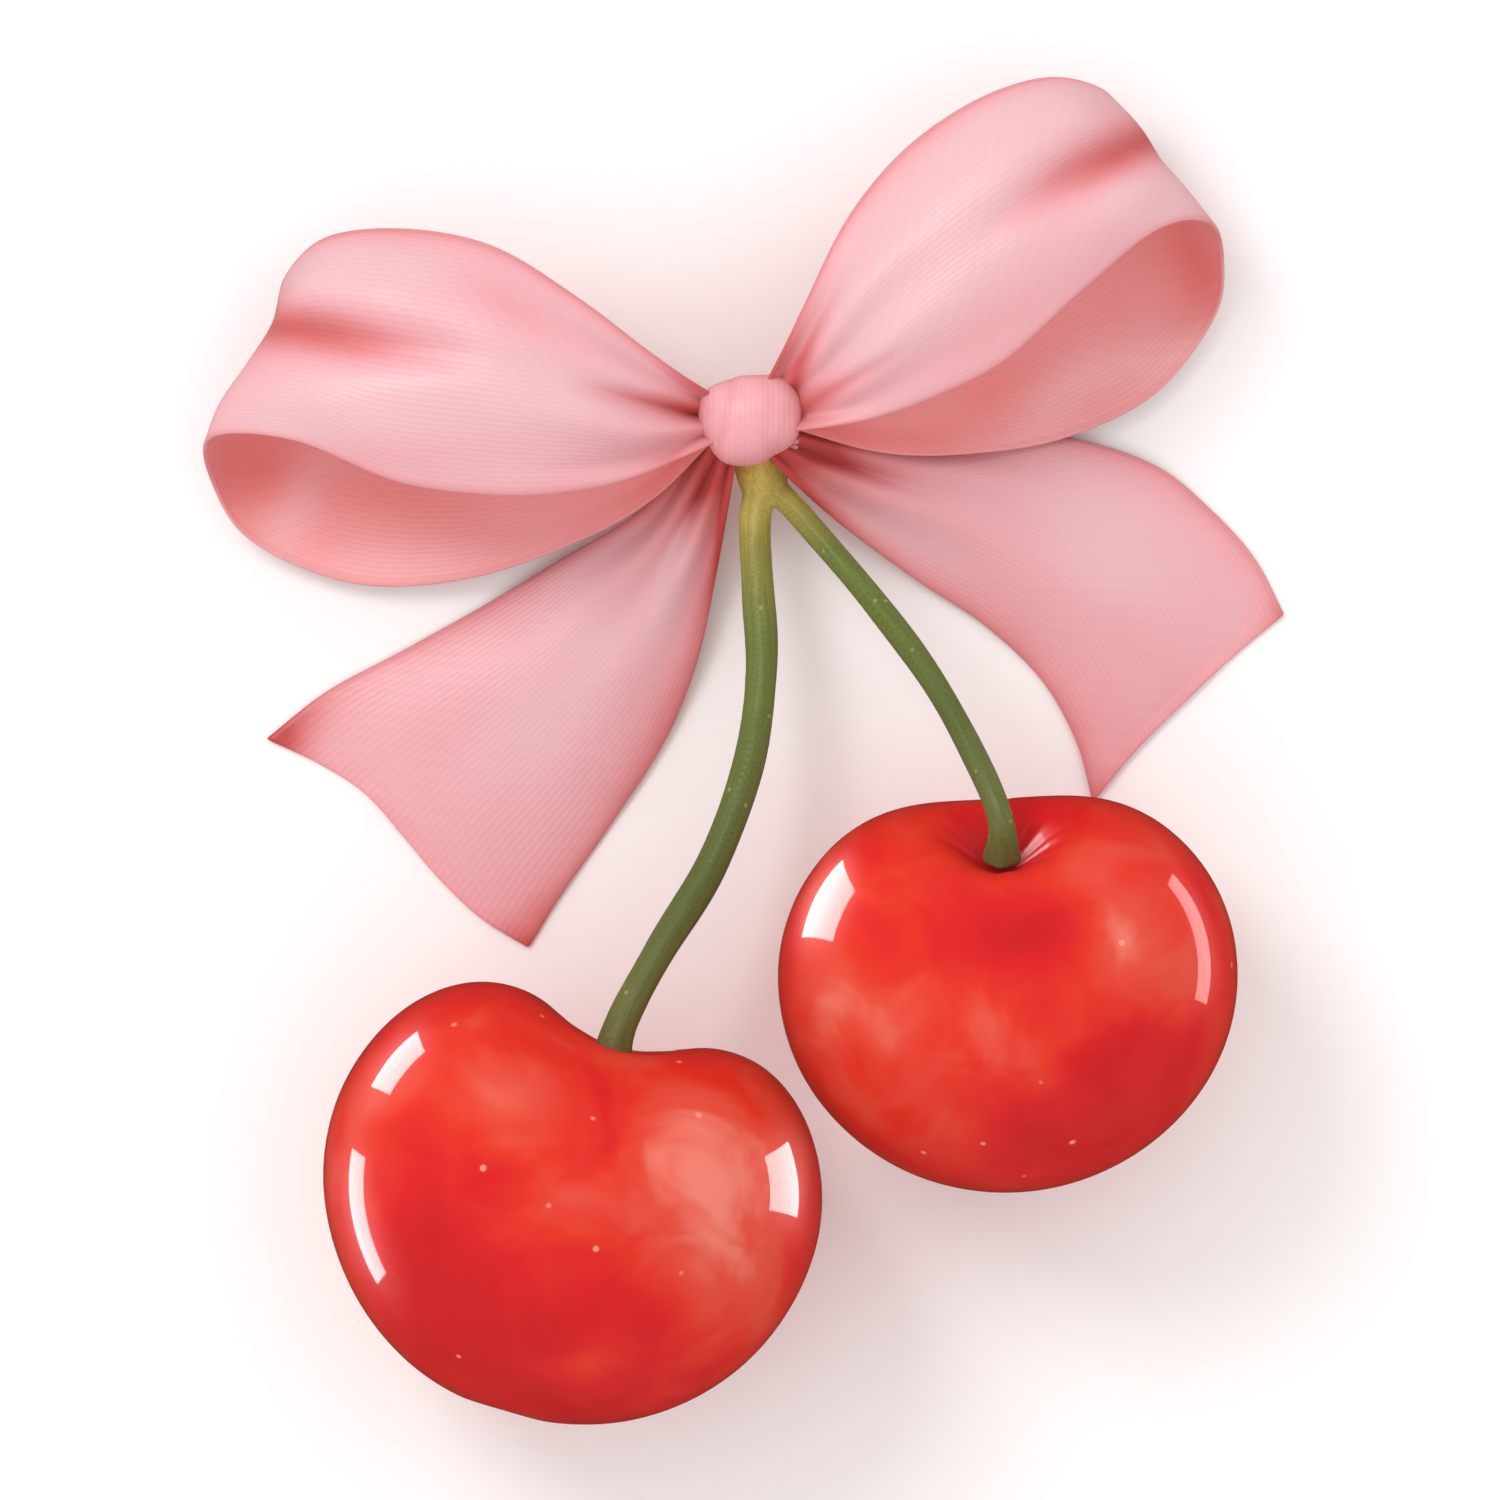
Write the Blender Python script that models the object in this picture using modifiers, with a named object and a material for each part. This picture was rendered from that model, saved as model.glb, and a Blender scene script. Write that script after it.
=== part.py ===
"""Two cherries on joined stalks, tied with a ribbon bow, lying on a flat surface.

Frame: metres, +Z up.  The pair lies on its side on Z = 0, with the origin on the surface under
the middle of the whole bunch.  +Y runs from the fruit to the bow.

Run with:  blender --background --python part.py
"""

import math

import bmesh
import bpy
from mathutils import Matrix, Vector

MM = 0.001
UP = Vector((0.0, 0.0, 1.0))

# ---------------------------------------------------------------- fits
CLEARANCE = 0.3 * MM  # gap left between pieces that touch in the real thing
FLOOR = 0.0  # height of the surface that the bunch lies on

# ---------------------------------------------------------------- cherries
# A fruit's own Z is its stalk axis, its X the broad way and its Y the thin way.
# lean turns the stalk end to the right on the surface, nod lifts it off the surface.
CHERRIES = {
    "cherry_left": {
        "breadth": 27.3 * MM,
        "thickness": 24.6 * MM,
        "crown": 12.2 * MM,  # equator to where the stalk end would be without its hollow
        "base": 13.1 * MM,  # equator to the blossom end
        "cleft": 3.6 * MM,  # saddle between the two shoulders
        "lean": 17.0,
        "nod": 0.0,
    },
    "cherry_right": {
        "breadth": 25.0 * MM,
        "thickness": 23.0 * MM,
        "crown": 11.5 * MM,
        "base": 11.9 * MM,
        "cleft": 2.2 * MM,
        "lean": -3.0,
        "nod": 30.0,
    },
}
CLEFT_REACH = 6.9 * MM  # distance from the axis at which the saddle has mostly gone
DIMPLE_DEPTH = 2.6 * MM  # round hollow that holds the foot of the stalk
DIMPLE_REACH = 2.7 * MM
SCAR_DEPTH = 0.35 * MM  # small pit at the blossom end
SCAR_REACH = 1.3 * MM
CHERRY_SIDES = 44
CHERRY_RINGS = 30
RING_CROWDING = 1.2  # above 1, the rings crowd towards the hollow at the stalk end
FRUIT_MIDDLE = (2.4 * MM, -17.7 * MM)  # middle of the gap between the two fruits
FRUIT_TURN = 25.5  # direction from the left fruit to the right one, in degrees
FRUIT_GAP = 0.8 * MM

# ---------------------------------------------------------------- stalks
# A stalk's route is given against the straight line from the fork to the fruit:
# the share of the way, then how far it bows to the right and how far it rises.
STALKS = {
    "left": {
        "diameter": 1.75 * MM,
        "foot": 2.5 * MM,
        "route": (
            (0.09, 0.3 * MM, -0.4 * MM),
            (0.20, 1.3 * MM, -0.8 * MM),
            (0.34, 2.6 * MM, -1.1 * MM),
            (0.51, 3.2 * MM, -1.1 * MM),
            (0.70, 2.6 * MM, -0.8 * MM),
            (0.87, 1.0 * MM, -0.4 * MM),
        ),
    },
    "right": {
        "diameter": 1.4 * MM,
        "foot": 2.3 * MM,
        "route": (
            (0.15, 0.4 * MM, -1.0 * MM),
            (0.40, 1.0 * MM, -1.2 * MM),
            (0.64, 1.2 * MM, -0.3 * MM),
            (0.86, 0.7 * MM, 0.4 * MM),
        ),
    },
}
FOOT_LENGTH = 2.6 * MM  # length over which a stalk widens into its foot
TRUNK_DIAMETER = 2.9 * MM  # where the two stalks have grown together
TRUNK_TOP = (0.1 * MM, 19.6 * MM)
TRUNK_FORK = (0.65 * MM, 15.2 * MM)
TRUNK_HEIGHT = 4.2 * MM  # centre of the trunk above the surface
TRUNK_TOP_RINGS = (20, 40, 60, 80)  # degrees round the rounded top, from its tip
TRUNK_TAPER = ((0.0, 1.0), (0.7, 0.8), (1.2, 0.5))  # radii past the fork, and share of the radius
STALK_ROUNDNESS = 3  # bevel resolution of a stalk: 10 sides
ROUTE_STEPS = 5  # rings between two route points

# ---------------------------------------------------------------- ribbon
RIBBON_THICKNESS = 0.4 * MM
KNOT_PLACE = (0.0, 17.9 * MM)
KNOT_LENGTH = 5.8 * MM  # along X
KNOT_BREADTH = 5.1 * MM  # along Y
KNOT_DEPTH = 4.6 * MM  # along Z
BAND_WIDTH = 3.2 * MM  # turn of ribbon behind the stalks, bunched up
BAND_STEPS = 16
# A loop's direction is that of its axis on the surface, in degrees.  Its mouth, the side where
# the ribbon stands open, faces right of that direction at -1 and left of it at +1.  It leaves
# the knot between the two root directions.
LOOPS = {
    "bow_loop_left": {
        "direction": 178.0,
        "mouth": 1,
        "roots": (156.0, 208.0),
        "length": 28.8 * MM,
        "spread": 9.7 * MM,
        "height": 13.4 * MM,
    },
    "bow_loop_right": {
        "direction": 28.5,
        "mouth": -1,
        "roots": (54.0, -8.0),
        "length": 27.3 * MM,
        "spread": 9.4 * MM,
        "height": 13.0 * MM,
    },
}
LOOP_ROOT_GAP = 1.4 * MM  # between the upper and the lower sheet at the knot
# The cage that every loop is drawn over, from the knot over the top to the far fold and back
# underneath.  A row holds the ribbon's back edge, its middle and its edge at the mouth, each as
# shares of the loop's length, spread and height.
LOOP_CAGE = (
    ((0.330, 0.645, 0.80), (0.330, 0.120, 0.97), (0.270, -0.390, 0.82)),
    ((0.540, 0.960, 0.74), (0.560, 0.290, 1.02), (0.470, -0.475, 0.86)),
    ((0.700, 1.000, 0.68), (0.740, 0.350, 0.97), (0.680, -0.400, 0.84)),
    ((0.840, 0.920, 0.58), (0.860, 0.330, 0.78), (0.870, -0.180, 0.78)),
    ((0.905, 0.740, 0.40), (0.935, 0.220, 0.48), (1.005, -0.220, 0.50)),
    ((0.860, 0.580, 0.22), (0.920, 0.000, 0.20), (0.985, -0.560, 0.22)),
    ((0.740, 0.480, 0.10), (0.800, -0.200, 0.01), (0.830, -0.930, 0.03)),
    ((0.540, 0.380, 0.14), (0.580, -0.280, 0.07), (0.600, -0.990, 0.09)),
    ((0.340, 0.220, 0.33), (0.350, -0.300, 0.29), (0.370, -0.770, 0.25)),
)
LOOP_STEPS = 4  # rows of faces between two cage rows
LOOP_STRIPS = 8
# A tail's two edges run from the knot to the cut end, as shares of its length and width.  Its
# mouth is 1 or -1, as a loop's is, so that its upper edge is the one nearer the loop above it.
TAILS = {
    "bow_tail_left": {
        "direction": 230.0,
        "mouth": 1,
        "roots": (204.0, 246.0),
        "length": 30.0 * MM,
        "width": 18.6 * MM,
        "upper": (
            (0.25, 0.08),
            (0.42, 0.17),
            (0.56, 0.25),
            (0.72, 0.35),
            (0.87, 0.45),
            (1.01, 0.50),
        ),
        "lower": (
            (0.24, -0.20),
            (0.39, -0.33),
            (0.54, -0.41),
            (0.72, -0.445),
            (0.88, -0.46),
            (0.99, -0.50),
        ),
    },
    "bow_tail_right": {
        "direction": -33.3,
        "mouth": -1,
        "roots": (-8.0, -58.0),
        "length": 28.8 * MM,
        "width": 16.0 * MM,
        "upper": (
            (0.28, 0.30),
            (0.50, 0.54),
            (0.68, 0.64),
            (0.82, 0.62),
            (0.94, 0.56),
            (1.05, 0.45),
        ),
        "lower": (
            (0.24, -0.12),
            (0.43, -0.14),
            (0.58, -0.14),
            (0.73, -0.19),
            (0.85, -0.30),
            (0.945, -0.45),
        ),
    },
}
TAIL_FALL = (0.36, 0.09, 0.02, 0.0, 0.0, 0.0)  # height of each row, as a share of the root's
TAIL_HOLLOW = 0.7 * MM  # how far the cut end curves in
TAIL_BILLOW = 1.1 * MM  # rise of a tail's middle above its edges
TAIL_ROOT_DROP = 1.6 * MM  # how far below the knot's centre a tail comes out
TAIL_STEPS = 4
TAIL_STRIPS = 8

# ---------------------------------------------------------------- finishes
FINISHES = {
    "cherry skin": {"colour": (0.79, 0.045, 0.025), "roughness": 0.12, "metallic": 0.0},
    "green stalk": {"colour": (0.17, 0.20, 0.04), "roughness": 0.55, "metallic": 0.0},
    "pink satin": {"colour": (0.83, 0.43, 0.45), "roughness": 0.38, "metallic": 0.0},
}


def clear_scene():
    """Remove whatever the scene holds."""
    for old in list(bpy.data.objects):
        bpy.data.objects.remove(old, do_unlink=True)


def new_collection(name):
    """Make a collection in the scene."""
    collection = bpy.data.collections.new(name)
    bpy.context.scene.collection.children.link(collection)
    return collection


def give_material(piece, finish):
    """Give a piece a Principled material of its own."""
    values = FINISHES[finish]
    material = bpy.data.materials.new(f"{piece.name} {finish}")
    material.use_nodes = True
    shader = material.node_tree.nodes["Principled BSDF"]
    shader.inputs["Base Color"].default_value = (*values["colour"], 1.0)
    shader.inputs["Roughness"].default_value = values["roughness"]
    shader.inputs["Metallic"].default_value = values["metallic"]
    material.diffuse_color = (*values["colour"], 1.0)
    piece.data.materials.clear()
    piece.data.materials.append(material)


def new_piece(name, bm, collection, finish):
    """Turn a bmesh into a smooth shaded object with its own material."""
    mesh = bpy.data.meshes.new(name)
    bmesh.ops.recalc_face_normals(bm, faces=bm.faces)
    bm.to_mesh(mesh)
    bm.free()
    mesh.shade_smooth()
    piece = bpy.data.objects.new(name, mesh)
    collection.objects.link(piece)
    give_material(piece, finish)
    return piece


def direction_on_surface(degrees):
    """Level direction at an angle from +X."""
    turn = math.radians(degrees)
    return Vector((math.cos(turn), math.sin(turn), 0.0))


def spline_point(points, place):
    """Point on a smooth curve through the points; place runs from 0 to 1 over all of them."""
    spans = len(points) - 1
    span = min(int(place * spans), spans - 1)
    t = place * spans - span
    start = Vector(points[span])
    end = Vector(points[span + 1])
    before = Vector(points[span - 1]) if span > 0 else start * 2 - end
    after = Vector(points[span + 2]) if span + 2 <= spans else end * 2 - start
    return (
        start * (2 * t**3 - 3 * t**2 + 1)
        + (end - before) / 2 * (t**3 - 2 * t**2 + t)
        + end * (3 * t**2 - 2 * t**3)
        + (after - start) / 2 * (t**3 - t**2)
    )


def arc_point(first, middle, last, place):
    """Point on the parabola through three points; place runs from 0 to 1."""
    return (
        first * ((1 - place) * (1 - 2 * place))
        + middle * (4 * place * (1 - place))
        + last * (place * (2 * place - 1))
    )


# ---------------------------------------------------------------- cherries
def hollow_depth(fruit, x, y):
    """How far the saddle and the round hollow sink the skin at a place near the stalk."""
    cleft = fruit["cleft"] * math.exp(-((x / CLEFT_REACH) ** 2))
    dimple = DIMPLE_DEPTH * math.exp(-((math.hypot(x, y) / DIMPLE_REACH) ** 2))
    return cleft + dimple


def skin_point(fruit, ball_point):
    """Place on a fruit's skin for a point of the unit ball, in the fruit's own frame."""
    height = max(-1.0, min(1.0, ball_point.z))
    polar = math.pi * (math.acos(height) / math.pi) ** RING_CROWDING
    around = math.atan2(ball_point.y, ball_point.x)
    x = math.cos(around) * math.sin(polar) * fruit["breadth"] / 2
    y = math.sin(around) * math.sin(polar) * fruit["thickness"] / 2
    rise = math.cos(polar)
    if rise < 0:
        scar = SCAR_DEPTH * math.exp(-((math.hypot(x, y) / SCAR_REACH) ** 2))
        return Vector((x, y, rise * fruit["base"] + scar))
    fade = rise * (2 - rise)
    return Vector((x, y, rise * fruit["crown"] - hollow_depth(fruit, x, y) * fade))


def fruit_mesh(fruit):
    """A ball drawn into the fruit's shape, upright, with its equator round the origin."""
    bm = bmesh.new()
    bmesh.ops.create_uvsphere(bm, u_segments=CHERRY_SIDES, v_segments=CHERRY_RINGS, radius=1.0)
    for vert in bm.verts:
        vert.co = skin_point(fruit, vert.co)
    return bm


def fruit_turn(fruit):
    """Rotation that lays a fruit on its side."""
    tip = Matrix.Rotation(math.radians(fruit["nod"] - 90.0), 3, "X")
    return Matrix.Rotation(math.radians(-fruit["lean"]), 3, "Z") @ tip


def fruit_reach(fruit, direction):
    """How far a laid-down fruit reaches from its origin in a direction."""
    bm = fruit_mesh(fruit)
    turn = fruit_turn(fruit)
    reach = max((turn @ vert.co).dot(direction) for vert in bm.verts)
    bm.free()
    return reach


def fruit_centre(name):
    """World place of a fruit's origin: on the surface, beside the other fruit."""
    fruit = CHERRIES[name]
    between = direction_on_surface(FRUIT_TURN)
    outward = -between if name == "cherry_left" else between
    centre = Vector((*FRUIT_MIDDLE, FLOOR))
    centre += outward * (fruit_reach(fruit, -outward) + FRUIT_GAP / 2)
    centre.z += fruit_reach(fruit, -UP)
    return centre


def build_cherry(name, collection):
    """One cherry, lying on the surface."""
    fruit = CHERRIES[name]
    piece = new_piece(name, fruit_mesh(fruit), collection, "cherry skin")
    piece.location = fruit_centre(name)
    piece.rotation_euler = fruit_turn(fruit).to_euler()
    return piece


# ---------------------------------------------------------------- stalks
def stalk_seat(name, foot):
    """Where a stalk's foot meets its cherry, and the direction that it leaves in."""
    fruit = CHERRIES[name]
    x = foot / 2
    level = math.sqrt(1 - (2 * x / fruit["breadth"]) ** 2)
    height = level * fruit["crown"] - hollow_depth(fruit, x, 0.0) + CLEARANCE
    axis = fruit_turn(fruit) @ UP
    return fruit_centre(name) + axis * height, axis


def tube_object(name, points, radii, collection):
    """A solid tube through the points, made as a bevelled curve and then a welded mesh."""
    curve = bpy.data.curves.new(name, "CURVE")
    curve.dimensions = "3D"
    curve.bevel_depth = 1.0
    curve.bevel_resolution = STALK_ROUNDNESS
    curve.use_fill_caps = True
    spline = curve.splines.new("POLY")
    spline.points.add(len(points) - 1)
    for control, point, radius in zip(spline.points, points, radii):
        control.co = (*point, 1.0)
        control.radius = radius
    tube = bpy.data.objects.new(f"{name} curve", curve)
    collection.objects.link(tube)
    bpy.context.view_layer.update()
    evaluated = tube.evaluated_get(bpy.context.evaluated_depsgraph_get())
    mesh = bpy.data.meshes.new_from_object(evaluated)
    bm = bmesh.new()
    bm.from_mesh(mesh)
    bmesh.ops.remove_doubles(bm, verts=bm.verts, dist=0.001 * MM)
    bmesh.ops.recalc_face_normals(bm, faces=bm.faces)
    bm.to_mesh(mesh)
    bm.free()
    solid = bpy.data.objects.new(name, mesh)
    solid.matrix_world = tube.matrix_world
    collection.objects.link(solid)
    bpy.data.objects.remove(tube, do_unlink=True)
    return solid


def build_stalk(side, collection):
    """One stalk, from inside the trunk to the hollow of its cherry."""
    stalk = STALKS[side]
    seat, axis = stalk_seat(f"cherry_{side}", stalk["foot"])
    leave = seat + axis * FOOT_LENGTH
    fork = Vector((*TRUNK_FORK, TRUNK_HEIGHT))
    inside = fork.lerp(Vector((*TRUNK_TOP, TRUNK_HEIGHT)), 0.5)
    way = leave - fork
    right = Vector((-way.y, way.x, 0.0)).normalized()
    guide = [inside, fork]
    for share, bow, rise in stalk["route"]:
        guide.append(fork + way * share + right * bow + UP * rise)
    guide += [leave, seat]
    count = (len(guide) - 1) * ROUTE_STEPS
    points = [spline_point(guide, step / count) for step in range(count + 1)]
    flare = stalk["foot"] - stalk["diameter"]
    radii = []
    for point in points:
        near = max(0.0, 1.0 - (point - seat).length / FOOT_LENGTH)
        radii.append((stalk["diameter"] + flare * near**2) / 2)
    return tube_object(f"stalk {side}", points, radii, collection)


def build_trunk(collection):
    """The short trunk above the fork, rounded off at its woody top end."""
    top = Vector((*TRUNK_TOP, TRUNK_HEIGHT))
    fork = Vector((*TRUNK_FORK, TRUNK_HEIGHT))
    down = (fork - top).normalized()
    radius = TRUNK_DIAMETER / 2
    points = []
    radii = []
    for angle in TRUNK_TOP_RINGS:
        turn = math.radians(angle)
        points.append(top + down * radius * (1 - math.cos(turn)))
        radii.append(radius * math.sin(turn))
    for past, share in TRUNK_TAPER:
        points.append(fork + down * radius * past)
        radii.append(radius * share)
    return tube_object("stalk_pair", points, radii, collection)


def build_stalk_pair(collection, cutters):
    """Both stalks and the trunk that they share, grown as one piece."""
    pair = build_trunk(collection)
    for side in STALKS:
        stalk = build_stalk(side, cutters)
        stalk.hide_render = True
        stalk.display_type = "WIRE"
        union = pair.modifiers.new(f"Grow in {side} stalk", "BOOLEAN")
        union.operation = "UNION"
        union.solver = "EXACT"
        union.object = stalk
    pair.data.shade_smooth()
    give_material(pair, "green stalk")
    return pair


# ---------------------------------------------------------------- ribbon
def knot_centre():
    """Centre of the knot, which lies on the trunk."""
    height = TRUNK_HEIGHT + TRUNK_DIAMETER / 2 + CLEARANCE + KNOT_DEPTH / 2
    return Vector((*KNOT_PLACE, height))


def beside_knot(degrees, above):
    """Place just clear of the knot's outline, in a direction and at a height over its centre."""
    way = direction_on_surface(degrees)
    reach = 1.0 / math.hypot(way.x * 2 / KNOT_LENGTH, way.y * 2 / KNOT_BREADTH)
    return knot_centre() + way * (reach + CLEARANCE + RIBBON_THICKNESS / 2) + UP * above


def trunk_middle():
    """X of the trunk's centre line where the knot lies on it."""
    share = (KNOT_PLACE[1] - TRUNK_FORK[1]) / (TRUNK_TOP[1] - TRUNK_FORK[1])
    return TRUNK_FORK[0] + (TRUNK_TOP[0] - TRUNK_FORK[0]) * share


def past_band(roots, along):
    """A tail's two roots, moved out along it until the sheet between them clears the band."""
    reach = TRUNK_DIAMETER / 2 + CLEARANCE + RIBBON_THICKNESS
    corner_x = trunk_middle() + math.copysign(reach, along.x)
    corner_y = KNOT_PLACE[1] + math.copysign(BAND_WIDTH / 2, along.y)
    line = roots[1] - roots[0]
    outward = Vector((-line.y, line.x, 0.0)).normalized()
    if outward.dot(along) < 0.0:
        outward.negate()
    gap = (roots[0].x - corner_x) * outward.x + (roots[0].y - corner_y) * outward.y
    short = max(0.0, CLEARANCE + RIBBON_THICKNESS / 2 - gap)
    return [root + along * short / outward.dot(along) for root in roots]


def sheet_piece(name, rows, strips, surface, collection):
    """A sheet of ribbon: a grid mapped to a surface of two places from 0 to 1, then thickened."""
    bm = bmesh.new()
    bmesh.ops.create_grid(bm, x_segments=rows, y_segments=strips, size=0.5)
    for vert in bm.verts:
        vert.co = surface(vert.co.x + 0.5, vert.co.y + 0.5)
    piece = new_piece(name, bm, collection, "pink satin")
    shell = piece.modifiers.new("Thickness", "SOLIDIFY")
    shell.thickness = RIBBON_THICKNESS
    shell.offset = 0.0
    return piece


def build_loop(name, collection):
    """One loop of the bow: a band that leaves the knot, folds over and comes back under."""
    loop = LOOPS[name]
    along = direction_on_surface(loop["direction"])
    away = direction_on_surface(loop["direction"] - 90.0 * loop["mouth"])
    ground = Vector((*KNOT_PLACE, FLOOR + RIBBON_THICKNESS / 2))
    rails = []
    for column, edge in enumerate((0.0, 0.5, 1.0)):
        first, last = loop["roots"]
        root = first + (last - first) * edge
        rail = [beside_knot(root, LOOP_ROOT_GAP / 2)]
        for row in LOOP_CAGE:
            far, wide, high = row[column]
            point = ground + along * far * loop["length"] + away * wide * loop["spread"]
            rail.append(point + UP * high * loop["height"])
        rail.append(beside_knot(root, -LOOP_ROOT_GAP / 2))
        rails.append(rail)

    def surface(u, v):
        """Point of the sheet: u runs round the loop and v across the ribbon."""
        back, middle, front = (spline_point(rail, u) for rail in rails)
        point = arc_point(back, middle, front, v)
        point.z = max(point.z, ground.z)
        return point

    rows = (len(LOOP_CAGE) + 1) * LOOP_STEPS
    return sheet_piece(name, rows, LOOP_STRIPS, surface, collection)


def build_tail(name, collection):
    """One tail of the bow: it drops from under the knot and lies on the surface."""
    tail = TAILS[name]
    along = direction_on_surface(tail["direction"])
    away = direction_on_surface(tail["direction"] - 90.0 * tail["mouth"])
    ground = Vector((*KNOT_PLACE, FLOOR + RIBBON_THICKNESS / 2))
    roots = [beside_knot(direction, -TAIL_ROOT_DROP) for direction in tail["roots"]]
    rails = []
    for edge, root in zip(("upper", "lower"), past_band(roots, along)):
        rail = [root]
        for fall, (far, wide) in zip(TAIL_FALL, tail[edge]):
            point = ground + along * far * tail["length"] + away * wide * tail["width"]
            rail.append(point + UP * fall * root.z)
        rails.append(rail)

    def surface(u, v):
        """Point of the sheet: u runs from the knot to the cut end and v across the ribbon."""
        upper, lower = (spline_point(rail, u) for rail in rails)
        arch = 4 * v * (1 - v)
        point = upper.lerp(lower, v) - along * TAIL_HOLLOW * arch * u**4
        point.z = max(point.z, ground.z) + TAIL_BILLOW * arch * math.sin(math.pi * u**2)
        return point

    rows = len(tail["upper"]) * TAIL_STEPS
    return sheet_piece(name, rows, TAIL_STRIPS, surface, collection)


def build_knot(collection):
    """The round knot in front of the stalks."""
    bm = bmesh.new()
    bmesh.ops.create_uvsphere(bm, u_segments=24, v_segments=14, radius=0.5)
    bmesh.ops.scale(bm, vec=(KNOT_LENGTH, KNOT_BREADTH, KNOT_DEPTH), verts=bm.verts)
    piece = new_piece("bow_knot", bm, collection, "pink satin")
    piece.location = knot_centre()
    return piece


def build_band(collection):
    """The turn of ribbon that passes behind the trunk and comes up to the knot on both sides."""
    reach = TRUNK_DIAMETER / 2 + CLEARANCE + RIBBON_THICKNESS / 2
    knot = knot_centre()
    middle = trunk_middle()
    path = []
    for step in range(BAND_STEPS // 2 + 1):
        turn = math.pi * step * 2 / BAND_STEPS
        x = middle + reach * math.cos(turn)
        path.append(Vector((x, KNOT_PLACE[1], TRUNK_HEIGHT - reach * math.sin(turn))))
    tops = []
    for end in (path[0], path[-1]):
        off = (end.x - knot.x) * 2 / KNOT_LENGTH
        under_knot = knot.z - KNOT_DEPTH / 2 * math.sqrt(1 - off**2) - CLEARANCE
        tops.append(Vector((end.x, end.y, under_knot)))
    path.insert(0, tops[0])
    path.append(tops[1])

    def surface(u, v):
        """Point of the sheet: u runs round the trunk and v along it."""
        point = spline_point(path, u)
        point.y += (v - 0.5) * BAND_WIDTH
        return point

    return sheet_piece("bow_band", 2 * BAND_STEPS, 4, surface, collection)


def main():
    """Build every piece of the bunch."""
    clear_scene()
    model = new_collection("cherries_on_stalks")
    cutters = new_collection("cutters")
    for name in CHERRIES:
        build_cherry(name, model)
    build_stalk_pair(model, cutters)
    for name in LOOPS:
        build_loop(name, model)
    for name in TAILS:
        build_tail(name, model)
    build_knot(model)
    build_band(model)


main()
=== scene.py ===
"""Two cherries on joined stalks, tied with a ribbon bow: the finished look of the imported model.

The bunch lies on a pale surface at Z = 0 and is seen from straight above.  Lengths in the
classes below are in millimetres and turn to metres where a mesh is made.
"""

import logging
import math
from collections.abc import Sequence
from dataclasses import dataclass, field
from enum import Enum

import bmesh
import bpy
from mathutils import Matrix, Vector, noise
from mathutils.kdtree import KDTree


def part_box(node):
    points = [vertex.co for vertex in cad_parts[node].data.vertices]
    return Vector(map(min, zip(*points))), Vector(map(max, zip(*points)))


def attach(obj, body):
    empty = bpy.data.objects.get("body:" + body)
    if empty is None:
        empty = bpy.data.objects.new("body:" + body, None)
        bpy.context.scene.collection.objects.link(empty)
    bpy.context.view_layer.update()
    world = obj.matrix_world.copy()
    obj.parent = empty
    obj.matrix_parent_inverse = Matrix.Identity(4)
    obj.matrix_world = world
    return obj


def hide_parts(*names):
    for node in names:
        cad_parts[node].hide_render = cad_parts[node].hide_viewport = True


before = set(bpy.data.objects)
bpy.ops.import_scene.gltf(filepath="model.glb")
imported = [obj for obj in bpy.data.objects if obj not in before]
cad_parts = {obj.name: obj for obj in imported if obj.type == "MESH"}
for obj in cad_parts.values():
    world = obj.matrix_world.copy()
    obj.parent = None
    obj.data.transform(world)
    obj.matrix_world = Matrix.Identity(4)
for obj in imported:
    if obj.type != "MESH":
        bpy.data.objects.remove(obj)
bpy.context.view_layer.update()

log = logging.getLogger("bunch")

MM = 0.001
UP = Vector((0.0, 0.0, 1.0))


class Slot(Enum):
    """The record's material slots."""

    SKIN = "cherry_skin"
    STALK = "stalk"
    RIBBON = "ribbon"


class Side(Enum):
    """The two halves of the bunch."""

    LEFT = "left"
    RIGHT = "right"


# ---------------------------------------------------------------- small tools
def linear(code: str) -> tuple[float, float, float, float]:
    """Turn an sRGB hex colour to linear light.

    Args:
        code: six hex digits after a hash.

    Returns:
        Red, green, blue and an alpha of 1.
    """
    parts = (int(code[i : i + 2], 16) / 255 for i in (1, 3, 5))
    light = (p / 12.92 if p <= 0.04045 else ((p + 0.055) / 1.055) ** 2.4 for p in parts)
    return (*light, 1.0)


def add_node(
    tree: bpy.types.NodeTree,
    kind: str,
    settings: dict[str, object] | None = None,
    inputs: dict[str | int, object] | None = None,
) -> bpy.types.Node:
    """Add a node with its settings and links.

    Args:
        tree: the node tree that the node joins.
        kind: the node's type name.
        settings: its properties; "stops" gives a colour ramp its positions and hex colours.
        inputs: values for its sockets, or the output sockets that feed them.

    Returns:
        The new node.
    """
    node = tree.nodes.new(kind)
    for name, value in (settings or {}).items():
        if name != "stops":
            setattr(node, name, value)
            continue
        ramp = node.color_ramp
        while len(ramp.elements) < len(value):
            ramp.elements.new(0.5)
        for element, (position, code) in zip(ramp.elements, value):
            element.position = position
            element.color = linear(code)
    for key, value in (inputs or {}).items():
        if isinstance(value, bpy.types.NodeSocket):
            tree.links.new(value, node.inputs[key])
        else:
            node.inputs[key].default_value = value
    return node


def new_material(name: str) -> tuple[bpy.types.Material, bpy.types.NodeTree, bpy.types.Node]:
    """Start a node material.

    Args:
        name: the finish that it shows.

    Returns:
        The material, its node tree and its Principled shader.
    """
    material = bpy.data.materials.new(name)
    material.use_nodes = True
    return material, material.node_tree, material.node_tree.nodes["Principled BSDF"]


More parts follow.
